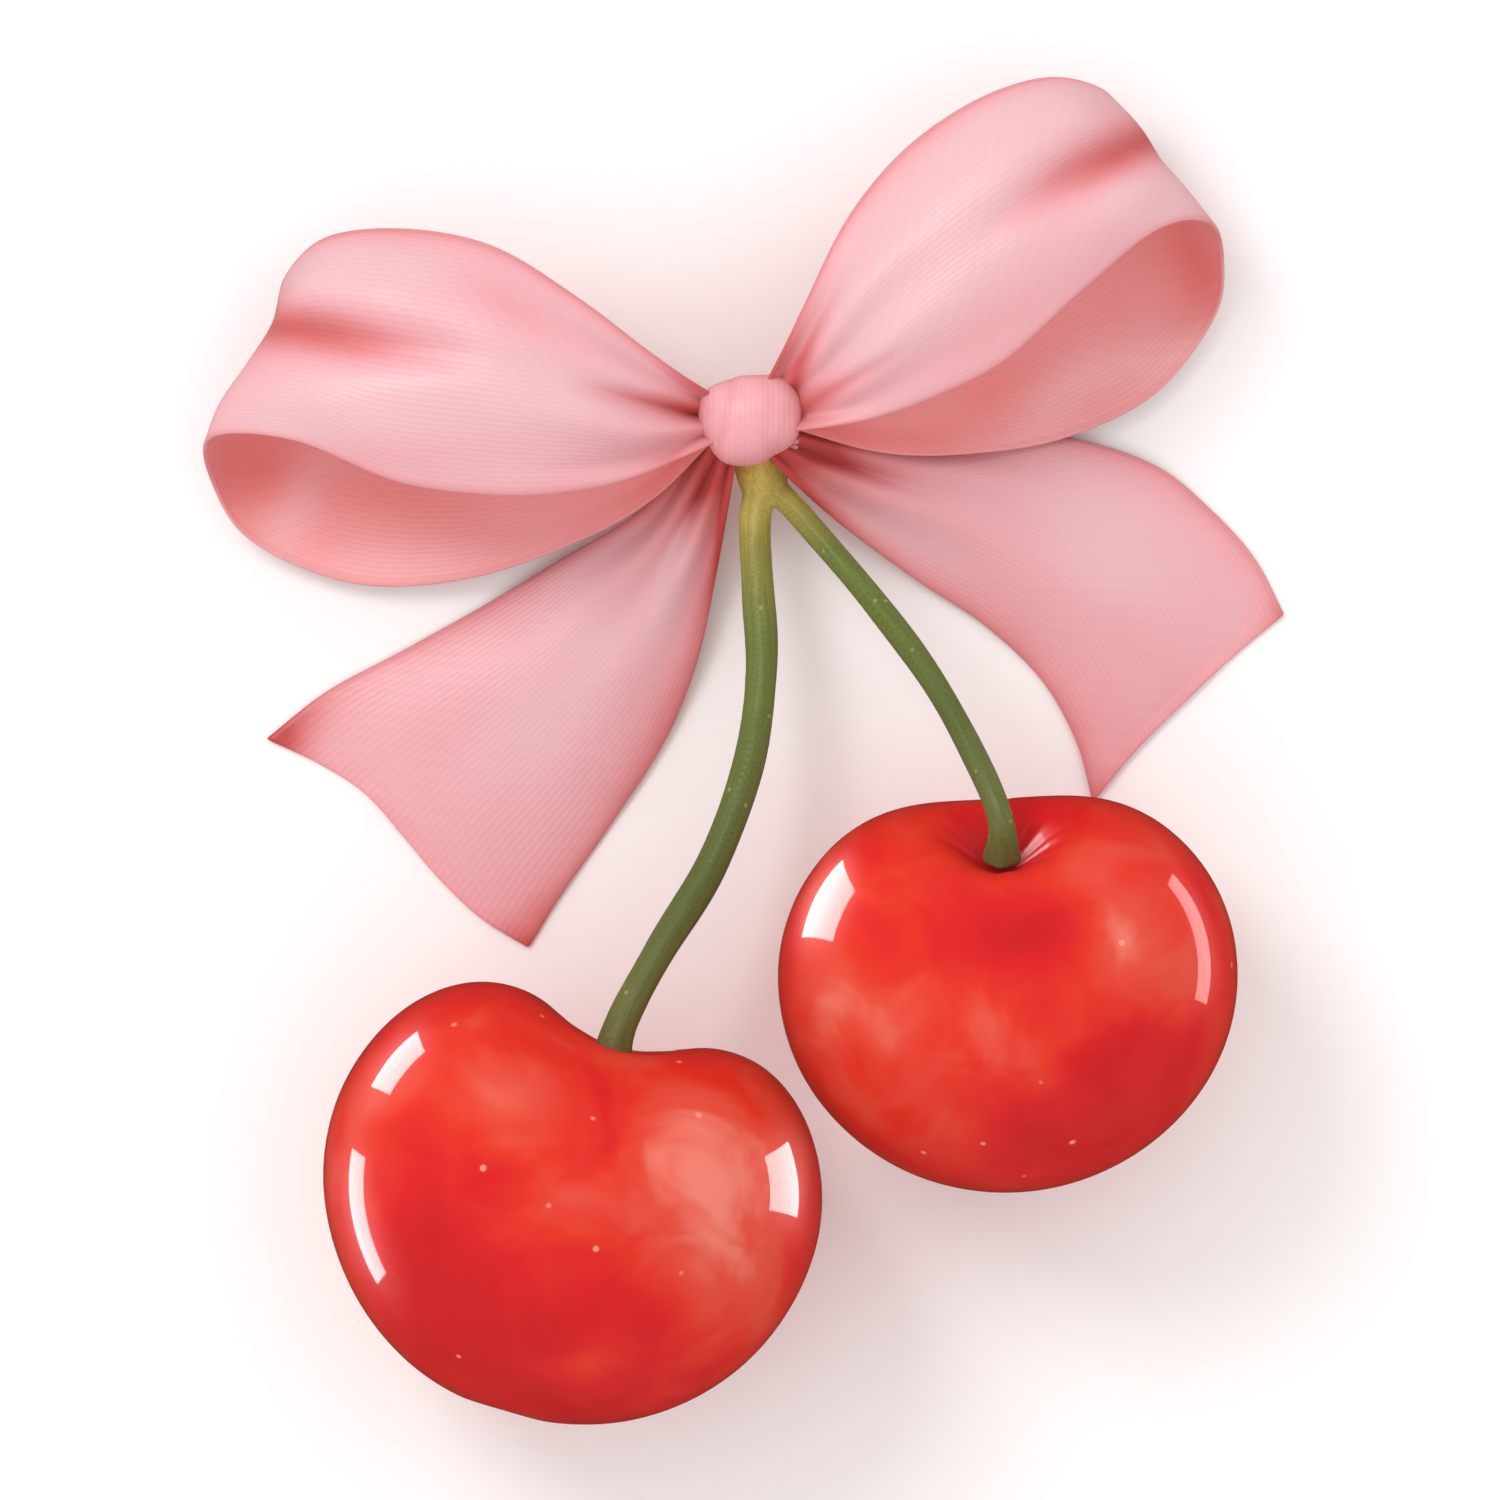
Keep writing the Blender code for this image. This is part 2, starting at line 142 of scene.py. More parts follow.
def smooth_step(low: float, high: float, value: float) -> float:
    """Rise smoothly from 0 at low to 1 at high."""
    t = max(0.0, min(1.0, (value - low) / (high - low)))
    return t * t * (3 - 2 * t)


def level_direction(degrees: float) -> Vector:
    """Level direction at an angle from +X."""
    return Vector((math.cos(math.radians(degrees)), math.sin(math.radians(degrees)), 0.0))


def spline_point(points: Sequence[Vector], place: float) -> Vector:
    """Find a point on the smooth curve through some points.

    Args:
        points: two or more points, evenly spread along the curve.
        place: from 0 at the first point to 1 at the last.

    Returns:
        The point of the curve.
    """
    spans = len(points) - 1
    span = min(int(place * spans), spans - 1)
    t = place * spans - span
    start, end = points[span], points[span + 1]
    before = points[span - 1] if span > 0 else start * 2 - end
    after = points[span + 2] if span + 2 <= spans else end * 2 - start
    return (
        start * (2 * t**3 - 3 * t**2 + 1)
        + (end - before) / 2 * (t**3 - 2 * t**2 + t)
        + end * (3 * t**2 - 2 * t**3)
        + (after - start) / 2 * (t**3 - t**2)
    )


def line_gap(point: Vector, line: Sequence[tuple[float, float]]) -> tuple[float, float]:
    """Measure how far a level point is from a broken line.

    Args:
        point: the point; only its x and y count.
        line: the line's corners.

    Returns:
        The distance, and how far along the line its nearest place is, from 0 to 1.
    """
    best, where = 1e9, 0.0
    for step, (first, last) in enumerate(zip(line, line[1:])):
        start, way = Vector(first), Vector(last) - Vector(first)
        share = max(0.0, min(1.0, (point.xy - start).dot(way) / way.length_squared))
        gap = (point.xy - start - way * share).length
        if gap < best:
            best, where = gap, (step + share) / (len(line) - 1)
    return best, where


def place_piece(
    name: str,
    bm: bmesh.types.BMesh,
    materials: Sequence[bpy.types.Material],
    node: str,
) -> bpy.types.Object:
    """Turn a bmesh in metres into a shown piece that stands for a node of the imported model.

    Args:
        name: the piece's name.
        bm: its mesh, which is used up.
        materials: its finishes, outer face first.
        node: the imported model's node that it replaces.

    Returns:
        The piece, at the origin and unturned.
    """
    mesh = bpy.data.meshes.new(name)
    bm.to_mesh(mesh)
    bm.free()
    mesh.shade_smooth()
    for material in materials:
        mesh.materials.append(material)
    piece = bpy.data.objects.new(name, mesh)
    bpy.context.scene.collection.objects.link(piece)
    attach(piece, "root")
    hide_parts(node)
    log.info("%s: %d faces for %s", name, len(mesh.polygons), node)
    return piece


# ---------------------------------------------------------------- finishes
@dataclass(frozen=True)
class CherrySkin:
    """Ripe sweet cherry skin: a taut waxy film over red flesh.

    The eye sees a wet, glassy gloss with crisp window lights, and under it a soft marbling
    from crimson through scarlet to coral where the flesh ripened less.
    """

    crimson: str = "#c81016"
    scarlet: str = "#d6151a"
    vermilion: str = "#de2d1b"
    coral: str = "#e04b38"
    blush: str = "#ea7f6e"
    lenticel: str = "#f6a08c"
    marbling: float = 5.5  # mm across one cloud of colour
    lenticel_pitch: float = 2.6  # mm between the breathing pores
    pore_pitch: float = 0.35  # mm between the finest dimples

    def material(self) -> bpy.types.Material:
        """Build the skin's material from the piece's "tone" and object coordinates.

        Returns:
            The material.
        """
        material, tree, shader = new_material("ripe cherry skin")
        place = add_node(tree, "ShaderNodeTexCoord").outputs["Object"]
        tone = add_node(tree, "ShaderNodeAttribute", {"attribute_name": "tone"}).outputs["Fac"]
        # Cloudy marbling, one cloud every few millimetres, breaks up the tone's soft patches.
        cloud = add_node(
            tree,
            "ShaderNodeTexNoise",
            inputs={
                "Vector": place,
                "Scale": 1 / (self.marbling * MM),
                "Detail": 3.0,
                "Roughness": 0.55,
                "Distortion": 0.6,
            },
        )
        swing = add_node(
            tree,
            "ShaderNodeMapRange",
            inputs={"Value": cloud.outputs["Fac"], "From Min": 0.3, "From Max": 0.7,
                    "To Min": -0.2, "To Max": 0.2},
        )
        mixed = add_node(tree, "ShaderNodeMath", {"operation": "ADD", "use_clamp": True},
                         {0: tone, 1: swing.outputs[0]})
        flesh = add_node(
            tree,
            "ShaderNodeValToRGB",
            {"stops": ((0.0, self.crimson), (0.27, self.scarlet), (0.52, self.vermilion),
                       (0.76, self.coral), (1.0, self.blush))},
            {"Fac": mixed.outputs[0]},
        )
        # Lenticels are pale pores 0.2 mm across; only some of the cells carry one.
        cells = add_node(
            tree, "ShaderNodeTexVoronoi",
            inputs={"Vector": place, "Scale": 1 / (self.lenticel_pitch * MM), "Randomness": 1.0},
        )
        spot = add_node(
            tree, "ShaderNodeMapRange",
            inputs={"Value": cells.outputs["Distance"], "From Min": 0.05, "From Max": 0.085,
                    "To Min": 1.0, "To Max": 0.0},
        )
        pick = add_node(tree, "ShaderNodeSeparateColor",
                        inputs={"Color": cells.outputs["Color"]})
        chosen = add_node(tree, "ShaderNodeMath", {"operation": "GREATER_THAN"},
                          {0: pick.outputs[0], 1: 0.5})
        shown = add_node(tree, "ShaderNodeMath", {"operation": "MULTIPLY"},
                         {0: spot.outputs[0], 1: chosen.outputs[0]})
        soft = add_node(tree, "ShaderNodeMath", {"operation": "MULTIPLY"},
                        {0: shown.outputs[0], 1: 0.75})
        colour = add_node(
            tree, "ShaderNodeMix", {"data_type": "RGBA"},
            {0: soft.outputs[0], 6: flesh.outputs["Color"], 7: linear(self.lenticel)},
        )
        # Pores are too fine to show at their real 0.05 mm, so they are drawn coarser and faint.
        pores = add_node(
            tree, "ShaderNodeTexNoise",
            inputs={"Vector": place, "Scale": 1 / (self.pore_pitch * MM), "Detail": 2.0},
        )
        dents = add_node(tree, "ShaderNodeMath", {"operation": "SUBTRACT"},
                         {0: pores.outputs["Fac"], 1: soft.outputs[0]})
        bump = add_node(
            tree, "ShaderNodeBump",
            inputs={"Strength": 0.06, "Distance": 0.05 * MM, "Height": dents.outputs[0]},
        )
        film = add_node(
            tree, "ShaderNodeMapRange",
            inputs={"Value": cloud.outputs["Fac"], "From Min": 0.3, "From Max": 0.7,
                    "To Min": 0.34, "To Max": 0.46},
        )
        wax = add_node(tree, "ShaderNodeAttribute", {"attribute_name": "wax"})
        tree.links.new(colour.outputs[2], shader.inputs["Base Color"])
        tree.links.new(film.outputs[0], shader.inputs["Roughness"])
        tree.links.new(bump.outputs[0], shader.inputs["Normal"])
        tree.links.new(wax.outputs["Fac"], shader.inputs["Coat Weight"])
        shader.inputs["IOR"].default_value = 1.42
        shader.inputs["Specular IOR Level"].default_value = 0.35
        shader.inputs["Coat Roughness"].default_value = 0.03
        shader.inputs["Coat IOR"].default_value = 1.5
        shader.inputs["Subsurface Weight"].default_value = 0.12
        shader.inputs["Subsurface Radius"].default_value = (1.0, 0.25, 0.15)
        shader.inputs["Subsurface Scale"].default_value = 1.2 * MM
        return material


@dataclass(frozen=True)
class GreenStalk:
    """Fresh cherry stalk: a fibrous green stem, drying to straw where the stalks join.

    The eye sees a satin stem with fine lengthwise ribs and streaks, straw yellow at the
    trunk, grass green along the way and dull olive with a brown rim at the fruit.
    """

    straw: str = "#f2da72"
    olive: str = "#a39a45"
    grass: str = "#6f7f36"
    deep: str = "#5f6d30"
    foot: str = "#70763a"
    streak: float = 0.16  # mm between fibres round the stem
    fleck: float = 1.1  # mm between the small scars

    def material(self) -> bpy.types.Material:
        """Build the stem's material from its "along" and "strand" attributes.

        Returns:
            The material.
        """
        material, tree, shader = new_material("green cherry stalk")
        place = add_node(tree, "ShaderNodeTexCoord").outputs["Object"]
        along = add_node(tree, "ShaderNodeAttribute", {"attribute_name": "along"}).outputs["Fac"]
        strand = add_node(tree, "ShaderNodeAttribute",
                          {"attribute_name": "strand"}).outputs["Vector"]
        # Fibres run the length of the stem: noise that is fine round it and long along it.
        fibre = add_node(
            tree, "ShaderNodeTexNoise",
            inputs={"Vector": strand, "Scale": 1 / (self.streak * MM), "Detail": 2.0,
                    "Roughness": 0.6},
        )
        patch = add_node(
            tree, "ShaderNodeTexNoise",
            inputs={"Vector": place, "Scale": 1 / (2.4 * MM), "Detail": 3.0},
        )
        drift = add_node(
            tree, "ShaderNodeMapRange",
            inputs={"Value": patch.outputs["Fac"], "From Min": 0.3, "From Max": 0.7,
                    "To Min": -0.02, "To Max": 0.02},
        )
        share = add_node(tree, "ShaderNodeMath", {"operation": "ADD", "use_clamp": True},
                         {0: along, 1: drift.outputs[0]})
        length_colour = add_node(
            tree, "ShaderNodeValToRGB",
            {"stops": ((0.0, self.straw), (0.08, self.straw), (0.19, self.olive),
                       (0.32, self.grass), (0.72, self.deep), (1.0, self.foot))},
            {"Fac": share.outputs[0]},
        )
        streaks = add_node(
            tree, "ShaderNodeMapRange",
            inputs={"Value": fibre.outputs["Fac"], "From Min": 0.35, "From Max": 0.65,
                    "To Min": 0.0, "To Max": 0.42},
        )
        streaked = add_node(
            tree, "ShaderNodeMix", {"data_type": "RGBA", "blend_type": "MULTIPLY"},
            {0: streaks.outputs[0], 6: length_colour.outputs["Color"], 7: linear("#a9ad8a")},
        )
        # Pale scars where bracts fell off, about half a millimetre long.
        cells = add_node(
            tree, "ShaderNodeTexVoronoi",
            inputs={"Vector": place, "Scale": 1 / (self.fleck * MM)},
        )
        scar = add_node(
            tree, "ShaderNodeMapRange",
            inputs={"Value": cells.outputs["Distance"], "From Min": 0.06, "From Max": 0.14,
                    "To Min": 0.5, "To Max": 0.0},
        )
        colour = add_node(
            tree, "ShaderNodeMix", {"data_type": "RGBA"},
            {0: scar.outputs[0], 6: streaked.outputs[2], 7: linear("#b4b280")},
        )
        bump = add_node(
            tree, "ShaderNodeBump",
            inputs={"Strength": 0.5, "Distance": 0.06 * MM, "Height": fibre.outputs["Fac"]},
        )
        gloss = add_node(
            tree, "ShaderNodeMapRange",
            inputs={"Value": fibre.outputs["Fac"], "From Min": 0.3, "From Max": 0.7,
                    "To Min": 0.42, "To Max": 0.6},
        )
        tree.links.new(colour.outputs[2], shader.inputs["Base Color"])
        tree.links.new(gloss.outputs[0], shader.inputs["Roughness"])
        tree.links.new(bump.outputs[0], shader.inputs["Normal"])
        shader.inputs["IOR"].default_value = 1.45
        shader.inputs["Sheen Weight"].default_value = 0.1
        return material


@dataclass(frozen=True)
class SatinRibbon:
    """Woven polyester satin ribbon, pink, with a bright face and a duller reverse that is painted
    deeper as shade.

    The eye sees a silky face with soft broad lights, partly painted as paler patches, warm coral
    painted as shade where it folds and gathers, fine lengthwise threads and a firm selvedge down
    both edges.
    """

    name: str
    attribute: str
    pale: str = "#e5b6bb"
    rose: str = "#e8a4a9"
    coral: str = "#dc8082"
    deep: str = "#c44a49"
    roughness: float = 0.42
    thread: float = 0.3  # mm; real satin threads are 0.1 mm, drawn coarser so that they show
    selvedge: float = 0.55  # mm
    width: float = 14.0  # mm

    def material(self) -> bpy.types.Material:
        """Build the ribbon's material from its tone attribute and its UV map in millimetres.

        Returns:
            The material.
        """
        material, tree, shader = new_material(self.name)
        cloth = add_node(tree, "ShaderNodeUVMap", {"uv_map": "cloth"}).outputs[0]
        place = add_node(tree, "ShaderNodeTexCoord").outputs["Object"]
        # The tone attribute holds the dye's even base, with painted shade and painted highlights
        # laid over it.
        tone = add_node(tree, "ShaderNodeAttribute",
                        {"attribute_name": self.attribute}).outputs["Fac"]
        cloud = add_node(
            tree, "ShaderNodeTexNoise",
            inputs={"Vector": place, "Scale": 1 / (7.0 * MM), "Detail": 2.0},
        )
        drift = add_node(
            tree, "ShaderNodeMapRange",
            inputs={"Value": cloud.outputs["Fac"], "From Min": 0.3, "From Max": 0.7,
                    "To Min": -0.06, "To Max": 0.06},
        )
        mixed = add_node(tree, "ShaderNodeMath", {"operation": "ADD", "use_clamp": True},
                         {0: tone, 1: drift.outputs[0]})
        dye = add_node(
            tree, "ShaderNodeValToRGB",
            {"stops": ((0.0, self.pale), (0.35, self.rose), (0.7, self.coral),
                       (1.0, self.deep))},
            {"Fac": mixed.outputs[0]},
        )
        split = add_node(tree, "ShaderNodeSeparateXYZ", inputs={"Vector": cloth})
        across, along = split.outputs[0], split.outputs[1]
        # Warp threads run along the ribbon; each shows as a fine rounded line.
        warp = add_node(
            tree, "ShaderNodeTexWave",
            {"wave_type": "BANDS", "bands_direction": "X", "wave_profile": "SIN"},
            {"Vector": cloth, "Scale": 2 * math.pi / (20 * self.thread), "Distortion": 0.4,
             "Detail": 2.0, "Detail Scale": 0.6},
        )
        # Satin floats: each warp thread dips under a weft thread every few threads.
        weft = add_node(
            tree, "ShaderNodeTexWave",
            {"wave_type": "BANDS", "bands_direction": "DIAGONAL", "wave_profile": "SIN"},
            {"Vector": cloth, "Scale": 2 * math.pi / (20 * self.thread) * 0.55,
             "Distortion": 0.8, "Detail": 1.0},
        )
        weave = add_node(tree, "ShaderNodeMath", {"operation": "MULTIPLY_ADD"},
                         {0: weft.outputs["Fac"], 1: 0.35, 2: warp.outputs["Fac"]})
        centred = add_node(tree, "ShaderNodeMath", {"operation": "SUBTRACT"},
                           {0: across, 1: self.width / 2})
        aside = add_node(tree, "ShaderNodeMath", {"operation": "ABSOLUTE"},
                         {0: centred.outputs[0]})
        edge = add_node(
            tree, "ShaderNodeMapRange",
            inputs={"Value": aside.outputs[0], "From Min": self.width / 2 - self.selvedge,
                    "From Max": self.width / 2 - self.selvedge * 0.6,
                    "To Min": 0.0, "To Max": 1.0},
        )
        # The selvedge is corded: short stitches across a raised rim.
        stitch = add_node(tree, "ShaderNodeMath", {"operation": "SINE"},
                          {0: add_node(tree, "ShaderNodeMath", {"operation": "MULTIPLY"},
                                       {0: along, 1: 2 * math.pi / 0.4}).outputs[0]})
        rim = add_node(tree, "ShaderNodeMath", {"operation": "MULTIPLY_ADD"},
                       {0: stitch.outputs[0], 1: 0.35, 2: 1.6})
        height = add_node(tree, "ShaderNodeMix", {"data_type": "FLOAT"},
                          {0: edge.outputs[0], 2: weave.outputs[0], 3: rim.outputs[0]})
        bump = add_node(
            tree, "ShaderNodeBump",
            inputs={"Strength": 0.16, "Distance": 0.05 * MM, "Height": height.outputs[0]},
        )
        # Painted shade: the dips between the threads are coloured darker; the deeper selvedge tint
        # is the cloth's own.
        painted_thread_shade = add_node(
            tree, "ShaderNodeMapRange",
            inputs={"Value": weave.outputs[0], "From Min": 0.0, "From Max": 1.35,
                    "To Min": 0.10, "To Max": 0.0},
        )
        selvedge_tint_and_painted_thread_shade = add_node(tree, "ShaderNodeMath", {"operation": "MULTIPLY_ADD"},
                             {0: edge.outputs[0], 1: 0.14, 2: painted_thread_shade.outputs[0]})
        colour = add_node(
            tree, "ShaderNodeMix", {"data_type": "RGBA", "blend_type": "MULTIPLY"},
            {0: selvedge_tint_and_painted_thread_shade.outputs[0], 6: dye.outputs["Color"], 7: linear("#c98a8c")},
        )
        gloss = add_node(
            tree, "ShaderNodeMapRange",
            inputs={"Value": weave.outputs[0], "From Min": 0.0, "From Max": 1.35,
                    "To Min": self.roughness + 0.06, "To Max": self.roughness - 0.04},
        )
        tree.links.new(colour.outputs[2], shader.inputs["Base Color"])
        tree.links.new(gloss.outputs[0], shader.inputs["Roughness"])
        tree.links.new(bump.outputs[0], shader.inputs["Normal"])
        shader.inputs["IOR"].default_value = 1.5
        shader.inputs["Specular IOR Level"].default_value = 0.4
        shader.inputs["Sheen Weight"].default_value = 0.25
        shader.inputs["Sheen Roughness"].default_value = 0.4
        shader.inputs["Sheen Tint"].default_value = linear("#ffdfe2")
        return material


@dataclass(frozen=True)
class MattFloor:
    """Pale painted board: an even, matt studio surface."""

    colour: str = "#f7f6f5"

    def material(self) -> bpy.types.Material:
        """Build the board's material.

        Returns:
            The material.
        """
        material, tree, shader = new_material("pale matt board")
        place = add_node(tree, "ShaderNodeTexCoord").outputs["Object"]
        grain = add_node(tree, "ShaderNodeTexNoise",
                         inputs={"Vector": place, "Scale": 1 / (1.5 * MM), "Detail": 2.0})
        bump = add_node(tree, "ShaderNodeBump",
                        inputs={"Strength": 0.02, "Distance": 0.02 * MM,
                                "Height": grain.outputs["Fac"]})
        tree.links.new(bump.outputs[0], shader.inputs["Normal"])
        shader.inputs["Base Color"].default_value = linear(self.colour)
        shader.inputs["Roughness"].default_value = 0.9
        shader.inputs["Specular IOR Level"].default_value = 0.1
        return material


# ---------------------------------------------------------------- cherries
@dataclass
class Blush:
    """A soft patch of colour on a fruit, seen from above.

    The place is a share of the fruit's half width and half length from its middle.
    """

    across: float
    ahead: float
    reach: float
    change: float

    def middle(self) -> Vector:
        """Direction of the patch from the fruit's middle."""
        up = math.sqrt(max(0.0, 1 - self.across**2 - self.ahead**2))
        return Vector((self.across, self.ahead, up))

    def at(self, way: Vector) -> float:
        """Change of tone in a direction, and of a fainter twin under the fruit.

        Args:
            way: direction from the fruit's middle, of length 1.

        Returns:
            The change, which is full at the patch's middle and dies out past its reach.
        """
        middle = self.middle()
        twin = Vector((-middle.x, middle.y, -middle.z))
        near = math.exp(-(((way - middle).length / self.reach) ** 2))
        far = math.exp(-(((way - twin).length / (self.reach * 1.2)) ** 2))
        return self.change * (near + 0.8 * far)


@dataclass
class Cherry:
    """One sweet cherry: shoulders, a cleft, the hollow of the stalk and the blossom scar."""

    side: Side
    breadth: float
    thickness: float
    crown: float
    base: float
    cleft: float
    lean: float
    nod: float
    blushes: list[Blush]
    seed: float
    cleft_reach: float = 6.9
    dimple_depth: float = 2.6
    dimple_reach: float = 2.7
    scar_depth: float = 0.35
    scar_reach: float = 1.3
    unevenness: float = 0.10
    suture_depth: float = 0.13
    suture_reach: float = 0.5
    fold_depth: float = 0.09
    fold_place: float = 2.6  # mm out from the stalk's axis
    fold_reach: float = 1.3
    painted_hollow_shade: float = 0.55  # painted shade: drop of tone in the stalk's hollow
    painted_hollow_shade_reach: float = 2.3
    scar_shade: float = 0.35  # drop of tone at the blossom scar
    scar_shade_reach: float = 1.1
    dust: float = 0.92  # share of the wet film that dust hides in the hollow
    dust_reach: float = 3.6
    sides: int = 176
    rings: int = 128
    ring_crowding: float = 1.2

    def hollow_depth(self, x: float, y: float) -> float:
        """Depth of the cleft and the stalk's hollow at a place near the stalk."""
        cleft = self.cleft * math.exp(-((x / self.cleft_reach) ** 2))
        return cleft + self.dimple_depth * math.exp(-((math.hypot(x, y) / self.dimple_reach) ** 2))

    def skin_point(self, ball: Vector) -> Vector:
        """Find the place on the skin, in the fruit's own upright frame.

        Args:
            ball: a point of the unit ball.

        Returns:
            The place in millimetres from the fruit's middle.
        """
        polar = math.pi * (math.acos(max(-1.0, min(1.0, ball.z))) / math.pi) ** self.ring_crowding
        around = math.atan2(ball.y, ball.x)
        x = math.cos(around) * math.sin(polar) * self.breadth / 2
        y = math.sin(around) * math.sin(polar) * self.thickness / 2
        rise = math.cos(polar)
        if rise < 0:
            scar = self.scar_depth * math.exp(-((math.hypot(x, y) / self.scar_reach) ** 2))
            point = Vector((x, y, rise * self.base + scar))
        else:
            fade = rise * (2 - rise)
            point = Vector((x, y, rise * self.crown - self.hollow_depth(x, y) * fade))
        return point + self.wobble(point, around, rise)

    def wobble(self, point: Vector, around: float, rise: float) -> Vector:
        """Find how far the skin stands off the even shape.

        Args:
            point: place on the even shape.
            around: angle round the stalk's axis.
            rise: from -1 at the blossom end to 1 at the stalk end.

        Returns:
            The change of place, mostly inward so that the fruit keeps its size.
        """
        outward = point.normalized()
        swell = noise.noise(point / 7.5 + Vector((self.seed, 0.0, 0.0)))
        depth = self.unevenness * (swell - 0.55)
        # The suture runs down the back from the hollow to the scar, and fades in front.
        back = abs(math.atan2(math.sin(around - math.pi / 2), math.cos(around - math.pi / 2)))
        out = math.hypot(point.x, point.y)
        depth -= self.suture_depth * math.exp(-((back * out / self.suture_reach) ** 2)) * (
            1 - smooth_step(0.85, 1.0, abs(rise))
        )
        # Short folds run out of the hollow like the spokes of a wheel.
        if rise > 0:
            spokes = math.sin(around * 9 + self.seed) * math.sin(around * 4 + 1.7 * self.seed)
            near = math.exp(-(((out - self.fold_place) / self.fold_reach) ** 2))
            depth += self.fold_depth * spokes * near
        return outward * depth

    def turn(self) -> Matrix:
        """Rotation that lays the upright fruit on its side."""
        tip = Matrix.Rotation(math.radians(self.nod - 90.0), 3, "X")
        return Matrix.Rotation(math.radians(-self.lean), 3, "Z") @ tip

    def tone(self, way: Vector, upright: Vector) -> float:
        """Find how light the skin is, from 0 crimson to 1 pale coral.

        Args:
            way: direction from the fruit's middle, as it lies.
            upright: place in the fruit's own frame, in millimetres.

        Returns:
            The tone.
        """
        value = 0.5 + sum(blush.at(way) for blush in self.blushes)
        value += 0.10 * noise.noise(way * 2.6 + Vector((self.seed, 5.0, 0.0)))
        out = math.hypot(upright.x, upright.y)
        if upright.z > 0:
            # Painted shade: the skin is coloured darker in the stalk's hollow.
            value -= self.painted_hollow_shade * math.exp(-((out / self.painted_hollow_shade_reach) ** 2))
        else:
            value -= self.scar_shade * math.exp(-((out / self.scar_shade_reach) ** 2))
        return max(0.0, min(1.0, value))

    def wax(self, upright: Vector) -> float:
        """Share of the wet film on the skin, which dust dulls in the stalk's hollow.

        Args:
            upright: place in the fruit's own frame, in millimetres.

        Returns:
            The share, from 0 to 1.
        """
        if upright.z < 0:
            return 1.0
        out = math.hypot(upright.x, upright.y)
        return 1.0 - self.dust * math.exp(-((out / self.dust_reach) ** 4))

    def build(self, skin: bpy.types.Material) -> bpy.types.Object:
        """Make the fruit where its node lies.

        Args:
            skin: the finish.

        Returns:
            The piece.
        """
        node = f"cherry_{self.side.value}"
        low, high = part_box(node)
        middle = (low + high) / 2
        half = (high - low) / 2
        bm = bmesh.new()
        bmesh.ops.create_uvsphere(bm, u_segments=self.sides, v_segments=self.rings, radius=1.0)
        turn = self.turn()
        upright = {}
        for vert in bm.verts:
            point = self.skin_point(vert.co)
            upright[vert.index] = point
            vert.co = turn @ point * MM
        reach = [(min(v.co[i] for v in bm.verts), max(v.co[i] for v in bm.verts)) for i in range(3)]
        shift = middle - Vector([(a + b) / 2 for a, b in reach])
        shift.z = low.z - reach[2][0]
        bmesh.ops.translate(bm, vec=shift, verts=bm.verts)
        layer = bm.verts.layers.float.new("tone")
        wax = bm.verts.layers.float.new("wax")
        for vert in bm.verts:
            off = vert.co - middle
            way = Vector((off.x / half.x, off.y / half.y, off.z / half.z))
            vert[layer] = self.tone(way.normalized() if way.length > 1 else way,
                                    upright[vert.index])
            vert[wax] = self.wax(upright[vert.index])
        bmesh.ops.recalc_face_normals(bm, faces=bm.faces)
        piece = place_piece(f"{node}_fruit", bm, [skin], node)
        # Each fruit mirrors the windows, which the other one would otherwise stand before.
        piece.visible_glossy = False
        return piece


def left_cherry() -> Cherry:
    """The lower, larger fruit, which lies on its side.

    Returns:
        The fruit.
    """
    return Cherry(
        side=Side.LEFT, breadth=27.3, thickness=24.6, crown=12.2, base=13.1, cleft=3.6,
        lean=17.0, nod=0.0, seed=3.1,
        blushes=[
            Blush(0.50, 0.28, 0.34, 0.46), Blush(0.63, -0.12, 0.30, 0.26),
            Blush(0.56, -0.42, 0.26, 0.20), Blush(-0.29, 0.48, 0.30, 0.20),
            Blush(-0.80, 0.34, 0.22, 0.14), Blush(0.18, 0.58, 0.22, -0.30),
            Blush(0.08, 0.32, 0.20, -0.16), Blush(-0.45, 0.10, 0.24, -0.26),
            Blush(-0.58, -0.16, 0.28, -0.30), Blush(-0.26, -0.64, 0.46, -0.42),
            Blush(-0.60, -0.55, 0.34, -0.34), Blush(0.20, -0.88, 0.36, -0.34),
            Blush(0.06, -0.72, 0.14, 0.42), Blush(0.40, -0.48, 0.16, -0.16),
            Blush(-0.36, 0.90, 0.22, -0.22), Blush(0.06, -0.04, 0.26, 0.08),
        ],
    )


def right_cherry() -> Cherry:
    """The upper fruit, which tips its hollow towards the viewer.

    Returns:
        The fruit.
    """
    return Cherry(
        side=Side.RIGHT, breadth=25.0, thickness=23.0, crown=11.5, base=11.9, cleft=2.2,
        lean=-3.0, nod=30.0, seed=8.4,
        blushes=[
            Blush(-0.74, 0.01, 0.26, 0.42), Blush(-0.43, -0.27, 0.30, 0.18),
            Blush(0.52, 0.24, 0.22, 0.32), Blush(0.68, 0.06, 0.22, 0.26),
            Blush(-0.28, 0.80, 0.16, 0.24), Blush(0.30, 0.77, 0.16, 0.16),
            Blush(-0.04, 0.34, 0.22, -0.46), Blush(0.17, 0.37, 0.20, -0.28),
            Blush(0.62, -0.36, 0.34, -0.36), Blush(0.24, -0.74, 0.46, -0.42),
            Blush(-0.40, -0.53, 0.24, 0.12), Blush(0.12, -0.20, 0.22, 0.10),
            Blush(0.05, 0.97, 0.24, -0.18),
        ],
    )


# ---------------------------------------------------------------- stalks
@dataclass
class Stalk:
    """One stalk's route, from the trunk to its fruit.

    A route point is a share of the way from the fork to the fruit, then how far the stalk
    bows to the right there and how far it rises.
    """

    side: Side
    diameter: float
    foot: float
    route: tuple[tuple[float, float, float], ...]


